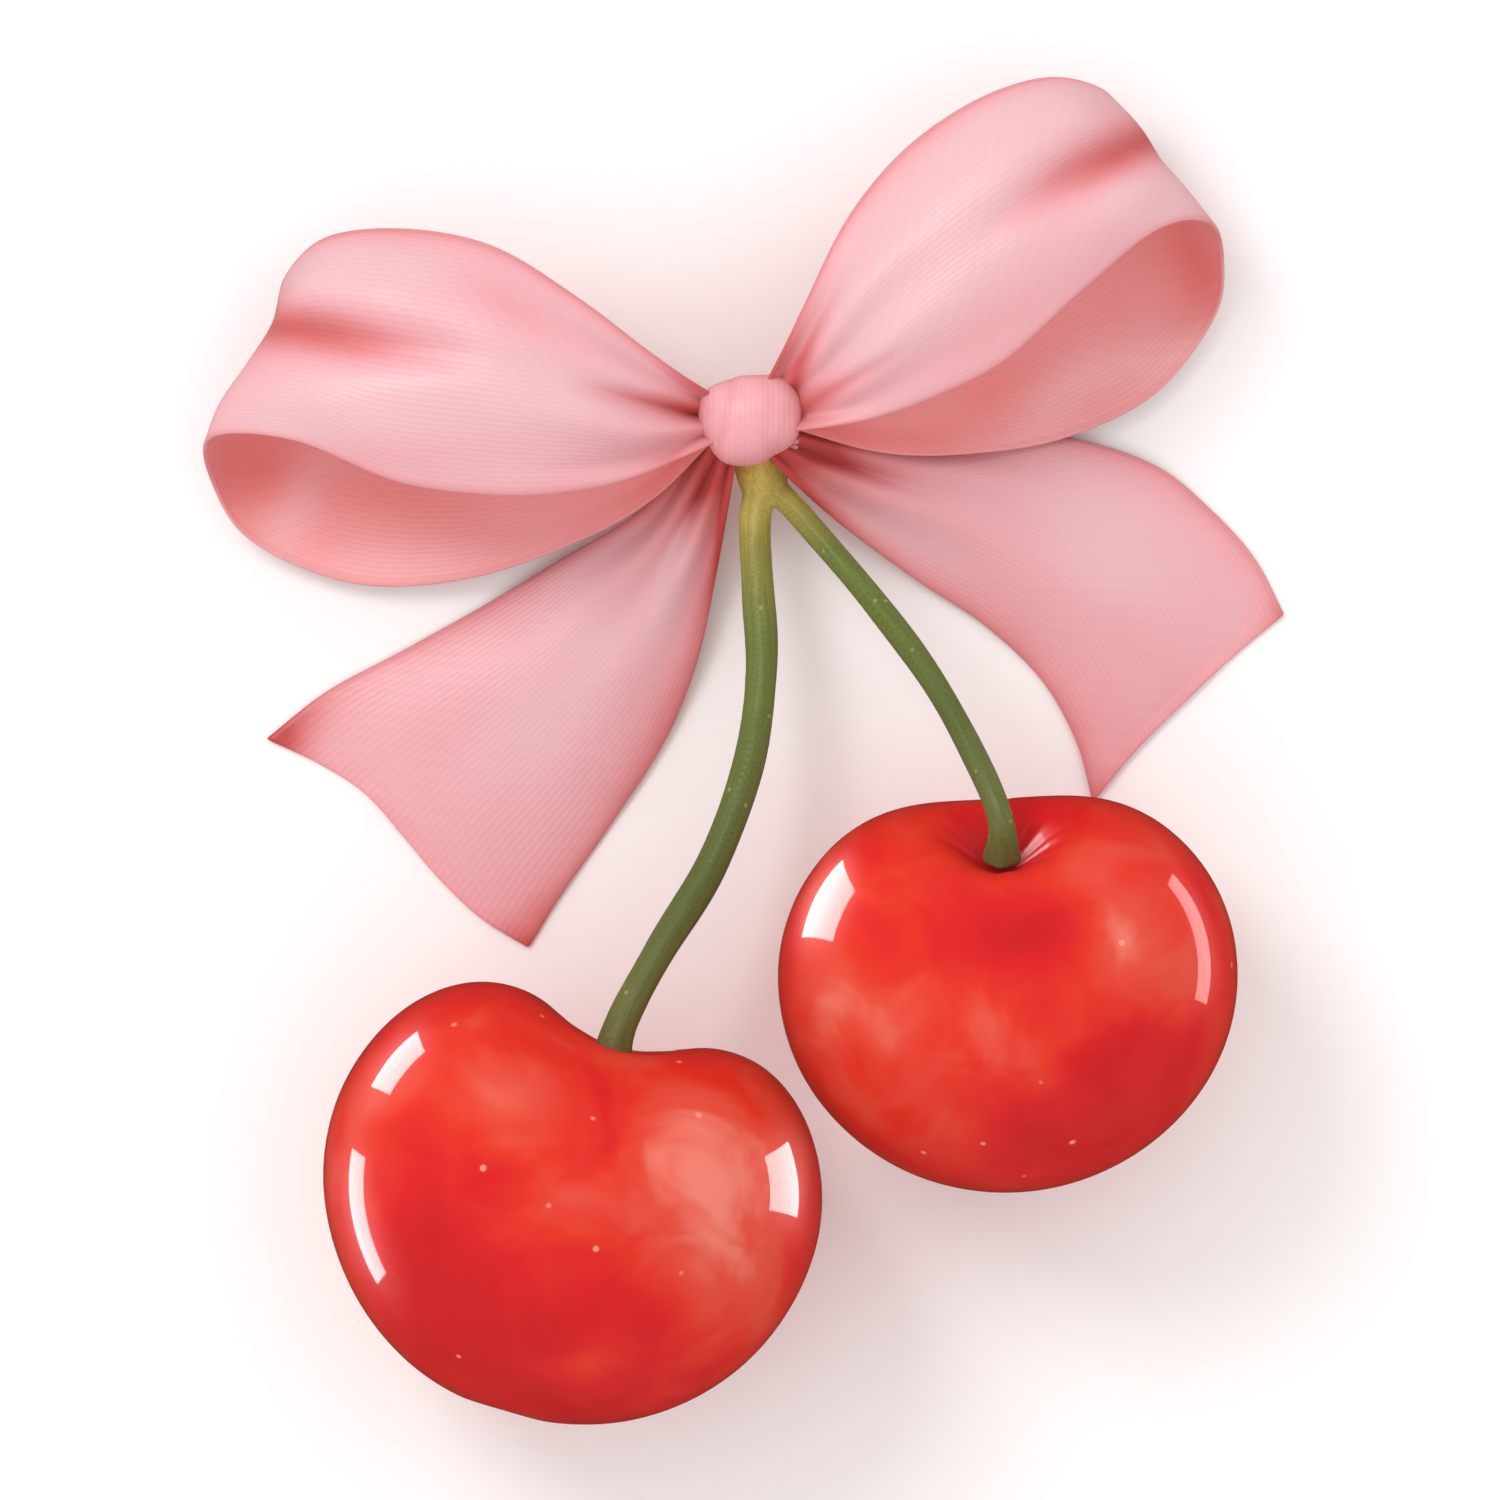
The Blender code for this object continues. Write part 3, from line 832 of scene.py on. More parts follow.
@dataclass
class StalkPair:
    """Both stalks and the trunk that they share, grown as one piece."""

    fruits: dict[Side, Cherry]
    stalks: list[Stalk] = field(
        default_factory=lambda: [
            Stalk(Side.LEFT, 1.75, 2.5,
                  ((0.09, 0.3, -0.4), (0.20, 1.3, -0.8), (0.34, 2.6, -1.1), (0.51, 3.2, -1.1),
                   (0.70, 2.6, -0.8), (0.87, 1.0, -0.4))),
            Stalk(Side.RIGHT, 1.4, 2.3,
                  ((0.15, 0.4, -1.0), (0.40, 1.0, -1.2), (0.64, 1.2, -0.3),
                   (0.86, 0.7, 0.4))),
        ]
    )
    foot_length: float = 2.6
    trunk_diameter: float = 2.9
    trunk_top: tuple[float, float] = (0.1, 19.6)
    trunk_fork: tuple[float, float] = (0.65, 15.2)
    trunk_height: float = 4.2
    ring: int = 30
    ribs: int = 5
    rib_height: float = 0.04
    steps: int = 14
    voxel: float = 0.13
    trunk_share: float = 0.04  # the trunk's place in the run of colours, from 0 to 1
    blend: float = 0.2
    fibre_stretch: float = 0.06  # across over along, so that the fibres are drawn out

    def seat(self, stalk: Stalk) -> tuple[Vector, Vector]:
        """Find where a stalk stands in its fruit's hollow.

        Args:
            stalk: the stalk.

        Returns:
            The seat in millimetres, and the direction that the stalk leaves in.
        """
        fruit = self.fruits[stalk.side]
        low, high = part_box(f"cherry_{stalk.side.value}")
        bm = bmesh.new()
        bmesh.ops.create_uvsphere(bm, u_segments=44, v_segments=30, radius=1.0)
        turn = fruit.turn()
        places = [turn @ fruit.skin_point(v.co) for v in bm.verts]
        bm.free()
        lows = Vector([min(p[i] for p in places) for i in range(3)])
        highs = Vector([max(p[i] for p in places) for i in range(3)])
        centre = (low + high) / 2 / MM - (lows + highs) / 2
        rim = stalk.foot / 2
        level = math.sqrt(1 - (2 * rim / fruit.breadth) ** 2)
        height = level * fruit.crown - fruit.hollow_depth(rim, 0.0)
        axis = turn @ UP
        return centre + axis * (height + 0.1), axis

    def path(self, stalk: Stalk) -> tuple[list[Vector], list[float]]:
        """Lay out a stalk's centre line.

        Args:
            stalk: the stalk.

        Returns:
            The points in millimetres and the radius at each.
        """
        seat, axis = self.seat(stalk)
        leave = seat + axis * self.foot_length
        fork = Vector((*self.trunk_fork, self.trunk_height))
        inside = fork.lerp(Vector((*self.trunk_top, self.trunk_height)), 0.5)
        way = leave - fork
        right = Vector((-way.y, way.x, 0.0)).normalized()
        guide = [inside, fork]
        guide += [fork + way * s + right * b + UP * r for s, b, r in stalk.route]
        guide += [leave, seat]
        count = (len(guide) - 1) * self.steps
        points = [spline_point(guide, step / count) for step in range(count + 1)]
        flare = stalk.foot - stalk.diameter
        radii = []
        for step, point in enumerate(points):
            near = max(0.0, 1.0 - (point - seat).length / self.foot_length)
            radius = (stalk.diameter + flare * near**2) / 2
            grown = 1 + 0.05 * math.sin(step * 0.23) * math.sin(step * 0.071 + 1.0)
            radii.append(radius * grown)
        radii[-1] *= 0.86
        return points, radii

    def trunk(self) -> tuple[list[Vector], list[float]]:
        """Lay out the trunk, from its torn woody top to below the fork.

        Returns:
            The points in millimetres and the radius at each.
        """
        top = Vector((*self.trunk_top, self.trunk_height))
        fork = Vector((*self.trunk_fork, self.trunk_height))
        down = (fork - top).normalized()
        radius = self.trunk_diameter / 2
        profile = ((0.06, 0.34), (0.23, 0.64), (0.5, 0.87), (0.83, 0.98), (1.6, 0.94), (2.4, 0.96))
        points = [top + down * radius * far for far, _ in profile]
        radii = [radius * share for _, share in profile]
        for past, share in ((0.0, 1.0), (0.5, 0.9), (0.9, 0.74), (1.3, 0.46)):
            points.append(fork + down * radius * past)
            radii.append(radius * share)
        return points, radii

    def tube(self, bm: bmesh.types.BMesh, points: list[Vector], radii: list[float]) -> None:
        """Draw a closed tube by extruding a ribbed ring along a path.

        Args:
            bm: the mesh that the tube joins.
            points: the path in millimetres.
            radii: the tube's radius at each point.
        """
        made = bmesh.ops.create_circle(bm, cap_ends=True, segments=self.ring, radius=1.0)
        ring = made["verts"]
        for vert in ring:
            vert.co *= 1 + self.rib_height * math.cos(self.ribs * math.atan2(vert.co.y, vert.co.x))
        loop = list({e for v in ring for e in v.link_edges})
        side, frame_before = UP, Matrix.Identity(4)
        for step, (point, radius) in enumerate(zip(points, radii)):
            ahead = points[min(step + 1, len(points) - 1)] - points[max(step - 1, 0)]
            ahead.normalize()
            side = (side - ahead * side.dot(ahead)).normalized()
            turn = Matrix((side, ahead.cross(side), ahead)).transposed().to_4x4()
            here = Matrix.Translation(point * MM) @ turn @ Matrix.Scale(radius * MM, 4)
            if step:
                geometry = bmesh.ops.extrude_edge_only(bm, edges=loop)["geom"]
                ring = [g for g in geometry if isinstance(g, bmesh.types.BMVert)]
                loop = [g for g in geometry if isinstance(g, bmesh.types.BMEdge)
                        and all(v in ring for v in g.verts)]
            bmesh.ops.transform(bm, matrix=here @ frame_before.inverted(), verts=ring)
            frame_before = here
        bmesh.ops.contextual_create(bm, geom=loop)

    def build(self, finish: bpy.types.Material) -> bpy.types.Object:
        """Make both stalks as one skin, smooth through the fork.

        Args:
            finish: the stem's material.

        Returns:
            The piece.
        """
        paths = [self.trunk()] + [self.path(stalk) for stalk in self.stalks]
        bm = bmesh.new()
        for points, radii in paths:
            self.tube(bm, points, radii)
        bmesh.ops.recalc_face_normals(bm, faces=bm.faces)
        rough = bpy.data.meshes.new("stalk_rough")
        bm.to_mesh(rough)
        bm.free()
        holder = bpy.data.objects.new("stalk_rough", rough)
        bpy.context.scene.collection.objects.link(holder)
        remesh = holder.modifiers.new("Grow together", "REMESH")
        remesh.mode = "VOXEL"
        remesh.voxel_size = self.voxel * MM
        bpy.context.view_layer.update()
        grown = holder.evaluated_get(bpy.context.evaluated_depsgraph_get())
        mesh = bpy.data.meshes.new_from_object(grown)
        bpy.data.objects.remove(holder, do_unlink=True)
        bm = bmesh.new()
        bm.from_mesh(mesh)
        bpy.data.meshes.remove(mesh)
        for _ in range(3):
            bmesh.ops.smooth_vert(bm, verts=bm.verts, factor=0.5,
                                  use_axis_x=True, use_axis_y=True, use_axis_z=True)
        self.dress(bm, paths)
        return place_piece("stalk_pair_stems", bm, [finish], "stalk_pair")

    def dress(self, bm: bmesh.types.BMesh, paths: list[tuple[list[Vector], list[float]]]) -> None:
        """Store how far along the stem each vertex is, and its place in the fibres.

        Args:
            bm: the grown mesh.
            paths: the trunk and the stalks that it grew from.
        """
        knots: list[tuple[Vector, float, float]] = []
        for index, (points, _) in enumerate(paths):
            total = sum((b - a).length for a, b in zip(points, points[1:]))
            run = 0.0
            for step, point in enumerate(points):
                if index == 0 and point.y < self.trunk_fork[1]:
                    break  # the stalks' own lines carry on from the fork
                if step:
                    run += (point - points[step - 1]).length
                past = 0.0 if index == 0 else run / total
                share = self.trunk_share + (1 - self.trunk_share) * past
                knots.append((point * MM, share, run))
        tree = KDTree(len(knots))
        for index, knot in enumerate(knots):
            tree.insert(knot[0], index)
        tree.balance()
        along = bm.verts.layers.float.new("along")
        strand = bm.verts.layers.float_vector.new("strand")
        for vert in bm.verts:
            near, index, _ = tree.find(vert.co)
            run = knots[index][2]
            off = vert.co - near
            around = tree.find_n(vert.co, 6)
            pulls = [1 / (gap + self.blend * MM) ** 4 for _, _, gap in around]
            shares = [knots[spot][1] for _, spot, _ in around]
            vert[along] = sum(p * s for p, s in zip(pulls, shares)) / sum(pulls)
            vert[strand] = (off.x, off.y, off.z + run * MM * self.fibre_stretch)


# ---------------------------------------------------------------- ribbon
@dataclass
class Crease:
    """A soft valley pressed into the ribbon, seen from above, in a piece's own level frame, with
    painted shade along it.
    """

    line: tuple[tuple[float, float], ...]
    reach: float
    depth: float
    # painted shade that the crease lays along its valley
    tone: float

    def at(self, point: Vector) -> float:
        """Strength from 0 to 1 at a place; the crease narrows and dies out along its line.

        Args:
            point: a place in the piece's own level frame, in millimetres.

        Returns:
            The strength.
        """
        gap, where = line_gap(point, self.line)
        reach = self.reach * (1 - 0.55 * where)
        return math.exp(-((gap / reach) ** 2)) * (1 - smooth_step(0.2, 1.0, where))


@dataclass
class PaintedLightPatch:
    """A soft patch of painted light: the ribbon's colour is painted paler as a highlight or deeper
    as shade.
    """

    place: tuple[float, float]
    reach: tuple[float, float]
    turn: float
    change: float

    def at(self, point: Vector) -> float:
        """Change of tone at a place.

        Args:
            point: a place in the piece's own level frame, in millimetres.

        Returns:
            The change of tone.
        """
        off = Matrix.Rotation(-math.radians(self.turn), 2) @ (point.xy - Vector(self.place))
        return self.change * math.exp(-((off.x / self.reach[0]) ** 2)
                                      - (off.y / self.reach[1]) ** 2)


@dataclass
class Knot:
    """The tight knot in front of the trunk, wound from the ribbon itself."""

    fullness: float = 0.86
    outline: tuple[float, ...] = (
        1.0, 1.06, 1.09, 1.01, 0.98, 1.05, 1.0, 0.93, 1.03, 1.01, 0.89, 0.94,
    )
    wraps: tuple[tuple[float, float, float], ...] = (
        (-0.46, 0.10, 0.13), (0.30, -0.16, 0.10), (0.68, 0.06, 0.08),
    )

    def centre(self) -> Vector:
        """Middle of the knot, in millimetres."""
        low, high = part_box("bow_knot")
        return (low + high) / 2 / MM

    def half(self) -> Vector:
        """Half the knot's size each way, in millimetres."""
        low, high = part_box("bow_knot")
        return (high - low) / 2 / MM

    def reach(self, degrees: float) -> float:
        """Share of the even oval that the hand-tied knot reaches to in a direction.

        Args:
            degrees: a direction on the surface, in degrees from +X.

        Returns:
            The share, which is about 1.
        """
        count = len(self.outline)
        place = (degrees % 360.0) / 360.0 * count
        ring = [Vector((self.outline[int(place + step) % count], 0.0, 0.0)) for step in
                (-1, 0, 1, 2)]
        return spline_point(ring, (1 + place % 1.0) / 3).x

    def beside(self, degrees: float, share: float, above: float) -> Vector:
        """Find a place in or beside the knot.

        Args:
            degrees: direction from its middle.
            share: 0 at the middle and 1 at the outline seen from above.
            above: height over the middle, in millimetres.

        Returns:
            The place in millimetres.
        """
        way, half = level_direction(degrees), self.half()
        reach = 1.0 / math.hypot(way.x / half.x, way.y / half.y)
        return self.centre() + way * reach * share + UP * above

    def build(self, finish: bpy.types.Material) -> bpy.types.Object:
        """Make the knot.

        Args:
            finish: the ribbon's bright face.

        Returns:
            The piece.
        """
        bm = bmesh.new()
        bmesh.ops.create_uvsphere(bm, u_segments=120, v_segments=80, radius=1.0,
                                  calc_uvs=True)
        cloth = bm.loops.layers.uv.new("cloth")
        tone = bm.verts.layers.float.new("tone")
        half, centre = self.half(), self.centre()
        for vert in bm.verts:
            ball = vert.co.copy()
            full = Vector([math.copysign(abs(c) ** self.fullness, c) for c in ball])
            crease = 0.0
            for place, slant, depth in self.wraps:
                off = ball.x - place - slant * ball.y - 0.08 * math.sin(3 * ball.y)
                crease += depth * math.exp(-((off / 0.12) ** 2)) * (1 - abs(ball.x) ** 4)
            shape = Vector((full.x * half.x, full.y * half.y, full.z * half.z))
            shape *= 0.96 - 0.16 * crease
            shape.xy *= self.reach(math.degrees(math.atan2(ball.y, ball.x)))
            vert.co = (centre + shape) * MM
            # Painted shade: the tone deepens in the wrap creases and towards the knot's sides,
            # which turn away from above.
            vert[tone] = 0.3 + 0.9 * crease + 0.2 * (1 - abs(ball.z)) ** 2
        for face in bm.faces:
            for loop in face.loops:
                off = loop.vert.co / MM - centre
                loop[cloth].uv = (8.0 + off.x, off.y + off.z)
        bmesh.ops.recalc_face_normals(bm, faces=bm.faces)
        piece = place_piece("bow_knot_wound", bm, [finish], "bow_knot")
        return piece


@dataclass
class RibbonSheet:
    """A length of ribbon: a grid shaped by its subclass, then given its thickness."""

    node: str
    knot: Knot
    width: float = 14.0
    thickness: float = 0.26
    rows: int = 120
    strips: int = 40

    def surface(self, u: float, v: float) -> Vector:
        """Place of the ribbon in millimetres; u runs along it and v across it."""
        raise NotImplementedError

    def tones(self, u: float, v: float, point: Vector) -> tuple[float, float]:
        """Tones of the bright face and of the reverse at a place, from 0 to 1."""
        raise NotImplementedError

    def flat_length(self, rows: dict[int, list[Vector]]) -> list[float]:
        """Measure the ribbon along its rows.

        Args:
            rows: the points of every row, by its number.

        Returns:
            How far along the ribbon each row is, in millimetres.
        """
        run = [0.0]
        for row in range(1, len(rows)):
            gaps = [(b - a).length for a, b in zip(rows[row - 1], rows[row])]
            run.append(run[-1] + sum(gaps) / len(gaps))
        return run

    def build(
        self,
        face: bpy.types.Material,
        reverse: bpy.types.Material,
        held: str,
        rests_on: list[str],
    ) -> bpy.types.Object:
        """Make the ribbon.

        Args:
            face: finish of the bright face.
            reverse: finish of the other face.
            held: how the cloth is held; not used.
            rests_on: what it lies on or hangs from; not used.

        Returns:
            The piece.
        """
        bm = bmesh.new()
        bmesh.ops.create_grid(bm, x_segments=self.rows, y_segments=self.strips, size=0.5)
        cloth = bm.loops.layers.uv.new("cloth")
        tone = bm.verts.layers.float.new("tone")
        inside = bm.verts.layers.float.new("tone_inside")
        spots = {v: (v.co.x + 0.5, v.co.y + 0.5) for v in bm.verts}
        rows: dict[int, list[Vector]] = {}
        for vert, (u, v) in sorted(spots.items(), key=lambda item: item[1]):
            point = self.surface(u, v)
            rows.setdefault(round(u * self.rows), []).append(point)
            vert[tone], vert[inside] = self.tones(u, v, point)
            vert.co = point * MM
        run = self.flat_length(rows)
        for quad in bm.faces:
            for loop in quad.loops:
                u, v = spots[loop.vert]
                loop[cloth].uv = (v * self.width, run[round(u * self.rows)])
        bm.normal_update()
        upper = [f for f in bm.faces if spots[f.verts[0]][0] < 0.35]
        if sum(f.normal.z for f in upper) < 0:
            bmesh.ops.reverse_faces(bm, faces=bm.faces)
        piece = place_piece(f"{self.node}_satin", bm, [face, reverse], self.node)
        shell = piece.modifiers.new("Thickness", "SOLIDIFY")
        shell.thickness = self.thickness * MM
        shell.offset = 0.0
        shell.material_offset = 1
        rounding = piece.modifiers.new("Rounding", "SUBSURF")
        rounding.levels = 1
        rounding.render_levels = 1
        log.info("%s: ribbon %.1f by %.1f mm", self.node, self.width, run[-1])
        return piece


@dataclass
class BowLoop(RibbonSheet):
    """A loop of the bow: out of the knot, over the far fold and back underneath.

    The cage holds rows from the knot to the far fold and back.  A row has five places across
    the ribbon, from its back edge to its edge at the open mouth.  A place is the distance out
    along the loop, the distance away from the mouth, and the height.
    """

    direction: float = 0.0
    mouth: int = 1
    roots: tuple[float, float] = (0.0, 0.0)
    cage: tuple[tuple[tuple[float, float, float], ...], ...] = ()
    creases: list[Crease] = field(default_factory=list)
    painted_light_patches: list[PaintedLightPatch] = field(default_factory=list)
    inner_painted_light_patches: list[PaintedLightPatch] = field(default_factory=list)
    root_gap: float = 0.7
    pleats: int = 3
    pleat_depth: float = 0.42
    pleat_reach: float = 9.0
    face_tone: float = 0.16
    # Painted shade: the colour deepens along both edges, near the knot, at the far fold and on the
    # reverse inside the loop.
    back_edge_painted_shade: float = 0.42
    mouth_edge_painted_shade: float = 0.16
    knot_painted_shade: float = 0.3
    fold_painted_shade: float = 0.34
    inner_painted_shade: float = 0.43

    def __post_init__(self) -> None:
        """Work out the rails that the sheet is drawn over."""
        self.along = level_direction(self.direction)
        self.away = level_direction(self.direction - 90.0 * self.mouth)
        self.origin = self.knot.centre()
        self.origin.z = 0.0
        self.rails: list[list[Vector]] = []
        for column in range(5):
            first, last = self.roots
            root = first + (last - first) * column / 4
            rail = [self.knot.beside(root, 0.45, self.root_gap),
                    self.knot.beside(root, 0.98, self.root_gap)]
            rail += [self.origin + self.along * s + self.away * t + UP * z
                     for s, t, z in (row[column] for row in self.cage)]
            rail += [self.knot.beside(root, 0.98, -self.root_gap),
                     self.knot.beside(root, 0.45, -self.root_gap)]
            self.rails.append(rail)

    def local(self, point: Vector) -> Vector:
        """Place in the loop's own level frame: out along it, and away from its mouth."""
        off = point - self.origin
        return Vector((off.dot(self.along), off.dot(self.away), point.z))

    def surface(self, u: float, v: float) -> Vector:
        """Place of the ribbon in millimetres; u runs round the loop and v across it.

        Args:
            u: share of the way round the loop, from the upper sheet at the knot.
            v: share of the way across the ribbon, from its back edge.

        Returns:
            The place in millimetres.
        """
        point = spline_point([spline_point(rail, u) for rail in self.rails], v)
        spot = self.local(point)
        front = 1 - smooth_step(0.50, 0.58, u)
        for crease in self.creases:
            point.z -= crease.depth * crease.at(spot) * front
        near = math.exp(-((max(0.0, spot.x - 2.0) / self.pleat_reach) ** 2))
        waves = math.cos(2 * math.pi * self.pleats * v + 0.7 * math.sin(3 * v))
        depth = self.pleat_depth * (1.0 if u < 0.5 else 0.45)
        point.z += depth * waves * near
        point.z += 0.12 * noise.noise(Vector((spot.x / 4, spot.y / 3, u * 3)))
        point.z = max(point.z, self.thickness / 2 + 0.02)
        return point

    def tones(self, u: float, v: float, point: Vector) -> tuple[float, float]:
        """Tones of the bright face and of the reverse at a place, from 0 to 1.

        Args:
            u: share of the way round the loop.
            v: share of the way across the ribbon.
            point: the place there, in millimetres.

        Returns:
            The tone of the bright face and that of the reverse.
        """
        spot = self.local(point)
        # Painted light: paler patches stand for highlights; creases, edges, the knot, the fold and
        # the inside of the loop are painted deeper as shade.
        out = self.face_tone + sum(glow.at(spot) for glow in self.painted_light_patches)
        out += sum(c.tone * c.at(spot) for c in self.creases)
        out += self.back_edge_painted_shade * math.exp(-((v / 0.07) ** 2))
        out += self.mouth_edge_painted_shade * math.exp(-(((1 - v) / 0.05) ** 2))
        out += self.knot_painted_shade * math.exp(-(((spot.x - 2.4) / 3.0) ** 2))
        out += self.fold_painted_shade * math.exp(-(((u - 0.5) / 0.035) ** 2))
        inner = self.inner_painted_shade + sum(glow.at(spot) for glow in self.inner_painted_light_patches)
        inner += self.knot_painted_shade * math.exp(-(((spot.x - 2.0) / 4.5) ** 2))
        return max(0.0, min(1.0, out)), max(0.0, min(1.0, inner))


@dataclass
class BowTail(RibbonSheet):
    """A tail of the bow: it drops from under the knot and lies on the surface.

    Both edges are given as distances out along the tail and to its upper side.  The cut end
    is a line of distances past the straight cut, from the upper corner to the lower one.
    """

    direction: float = 0.0
    mouth: int = 1
    roots: tuple[float, float] = (0.0, 0.0)
    upper: tuple[tuple[float, float], ...] = ()
    lower: tuple[tuple[float, float], ...] = ()
    heights: tuple[float, ...] = (2.4, 0.8, 0.35, 0.2, 0.2, 0.2)
    cut: tuple[float, ...] = (0.0, 0.0)
    billow: float = 1.7
    creases: list[Crease] = field(default_factory=list)
    painted_light_patches: list[PaintedLightPatch] = field(default_factory=list)
    root_drop: float = 1.6
    pleats: int = 3
    pleat_depth: float = 0.42
    pleat_reach: float = 8.5
    face_tone: float = 0.2
    # Painted shade: the colour deepens along both edges and near the knot.
    edge_painted_shade: float = 0.3
    knot_painted_shade: float = 0.80
    cut_tone: float = 0.2

    def __post_init__(self) -> None:
        """Work out the two rails that the sheet is drawn between."""
        self.along = level_direction(self.direction)
        self.away = level_direction(self.direction - 90.0 * self.mouth)
        self.origin = self.knot.centre()
        self.origin.z = 0.0
        self.rails: list[list[Vector]] = []
        for edge, root in zip((self.upper, self.lower), self.roots):
            rail = [self.knot.beside(root, 0.5, -self.root_drop + 0.5),
                    self.knot.beside(root, 1.04, -self.root_drop)]
            rail += [self.origin + self.along * s + self.away * t + UP * z
                     for (s, t), z in zip(edge, self.heights)]
            self.rails.append(rail)

    def local(self, point: Vector) -> Vector:
        """Place in the tail's own level frame: out along it, and towards its upper side."""
        off = point - self.origin
        return Vector((off.dot(self.along), off.dot(self.away), point.z))

    def surface(self, u: float, v: float) -> Vector:
        """Place of the ribbon in millimetres; u runs to the cut end and v across it.

        Args:
            u: share of the way from the knot to the cut end.
            v: share of the way across the ribbon, from its upper edge.

        Returns:
            The place in millimetres.
        """
        top, bottom = (spline_point(rail, u) for rail in self.rails)
        point = top.lerp(bottom, v)
        ends = [Vector((c, 0.0, 0.0)) for c in self.cut]
        point += self.along * spline_point(ends, v).x * u**5
        spot = self.local(point)
        arch = (4 * v * (1 - v)) ** 0.8
        point.z += self.billow * arch * math.sin(math.pi * min(1.0, u * 1.04)) ** 0.8
        for crease in self.creases:
            point.z -= crease.depth * crease.at(spot)
        near = math.exp(-((max(0.0, spot.x - 2.0) / self.pleat_reach) ** 2))
        point.z += self.pleat_depth * math.cos(2 * math.pi * self.pleats * v) * near
        point.z += 0.16 * noise.noise(Vector((spot.x / 5, spot.y / 4, 2.0)))
        point.z = max(point.z, self.thickness / 2 + 0.02)
        return point

    def tones(self, u: float, v: float, point: Vector) -> tuple[float, float]:
        """Tones of the bright face and of the reverse at a place, from 0 to 1.

        Args:
            u: share of the way from the knot to the cut end.
            v: share of the way across the ribbon.
            point: the place there, in millimetres.

        Returns:
            The tone of the bright face and that of the reverse.
        """
        spot = self.local(point)
        # Painted light: paler patches stand for highlights; creases, edges and the knot are painted
        # deeper as shade, and the reverse is painted deeper still.
        out = self.face_tone + sum(glow.at(spot) for glow in self.painted_light_patches)
        out += sum(c.tone * c.at(spot) for c in self.creases)
        out += self.edge_painted_shade * math.exp(-((v / 0.09) ** 2))
        out += self.edge_painted_shade * math.exp(-(((1 - v) / 0.09) ** 2))
        out += self.knot_painted_shade * math.exp(-((max(0.0, spot.x - 2.0) / 5.0) ** 2))
        out += self.cut_tone * smooth_step(0.94, 1.0, u)
        return max(0.0, min(1.0, out)), max(0.0, min(1.0, 0.5 + out / 2))


@dataclass
class TieBand(RibbonSheet):
    """The turn of ribbon behind the trunk, bunched up, that closes the knot."""

    width: float = 10.0
    rows: int = 56
    strips: int = 96
    pleats: int = 8

    def __post_init__(self) -> None:
        """Work out the path round the trunk from the node's own box."""
        low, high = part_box("bow_band")
        self.low, self.high = low / MM, high / MM
        middle = (self.low.x + self.high.x) / 2
        reach = (self.high.x - self.low.x) / 2 - self.thickness / 2
        base = self.low.z + self.thickness / 2 + reach
        self.line = [Vector((middle + reach, 0.0, self.high.z + 0.9))]
        for step in range(9):
            turn = math.pi * step / 8
            self.line.append(Vector((middle + reach * math.cos(turn), 0.0,
                                     base - reach * math.sin(turn))))
        self.line.append(Vector((middle - reach, 0.0, self.high.z + 0.9)))

    def surface(self, u: float, v: float) -> Vector:
        """Place of the ribbon in millimetres; u runs round the trunk and v along it.

        Args:
            u: share of the way round the trunk.
            v: share of the way along the trunk.

        Returns:
            The place in millimetres.
        """
        point = spline_point(self.line, u)
        back = spline_point(self.line, max(0.0, u - 0.02))
        ahead = spline_point(self.line, min(1.0, u + 0.02)) - back
        outward = Vector((-ahead.z, 0.0, ahead.x)).normalized()
        point += outward * (0.24 * math.cos(2 * math.pi * self.pleats * v))
        span = (self.high.y - self.low.y) * (0.92 + 0.06 * math.sin(7 * u))
        point.y = (self.low.y + self.high.y) / 2 + (v - 0.5) * span
        return point

    def tones(self, u: float, v: float, point: Vector) -> tuple[float, float]:
        """Tones of the bright face and of the reverse at a place, from 0 to 1."""
        # Painted shade: the pleats' hollows are coloured deeper and their crests paler; the reverse
        # is painted deeper still.
        folds = 0.5 - 0.3 * math.cos(2 * math.pi * self.pleats * v)
        return folds, min(1.0, 0.4 + folds)


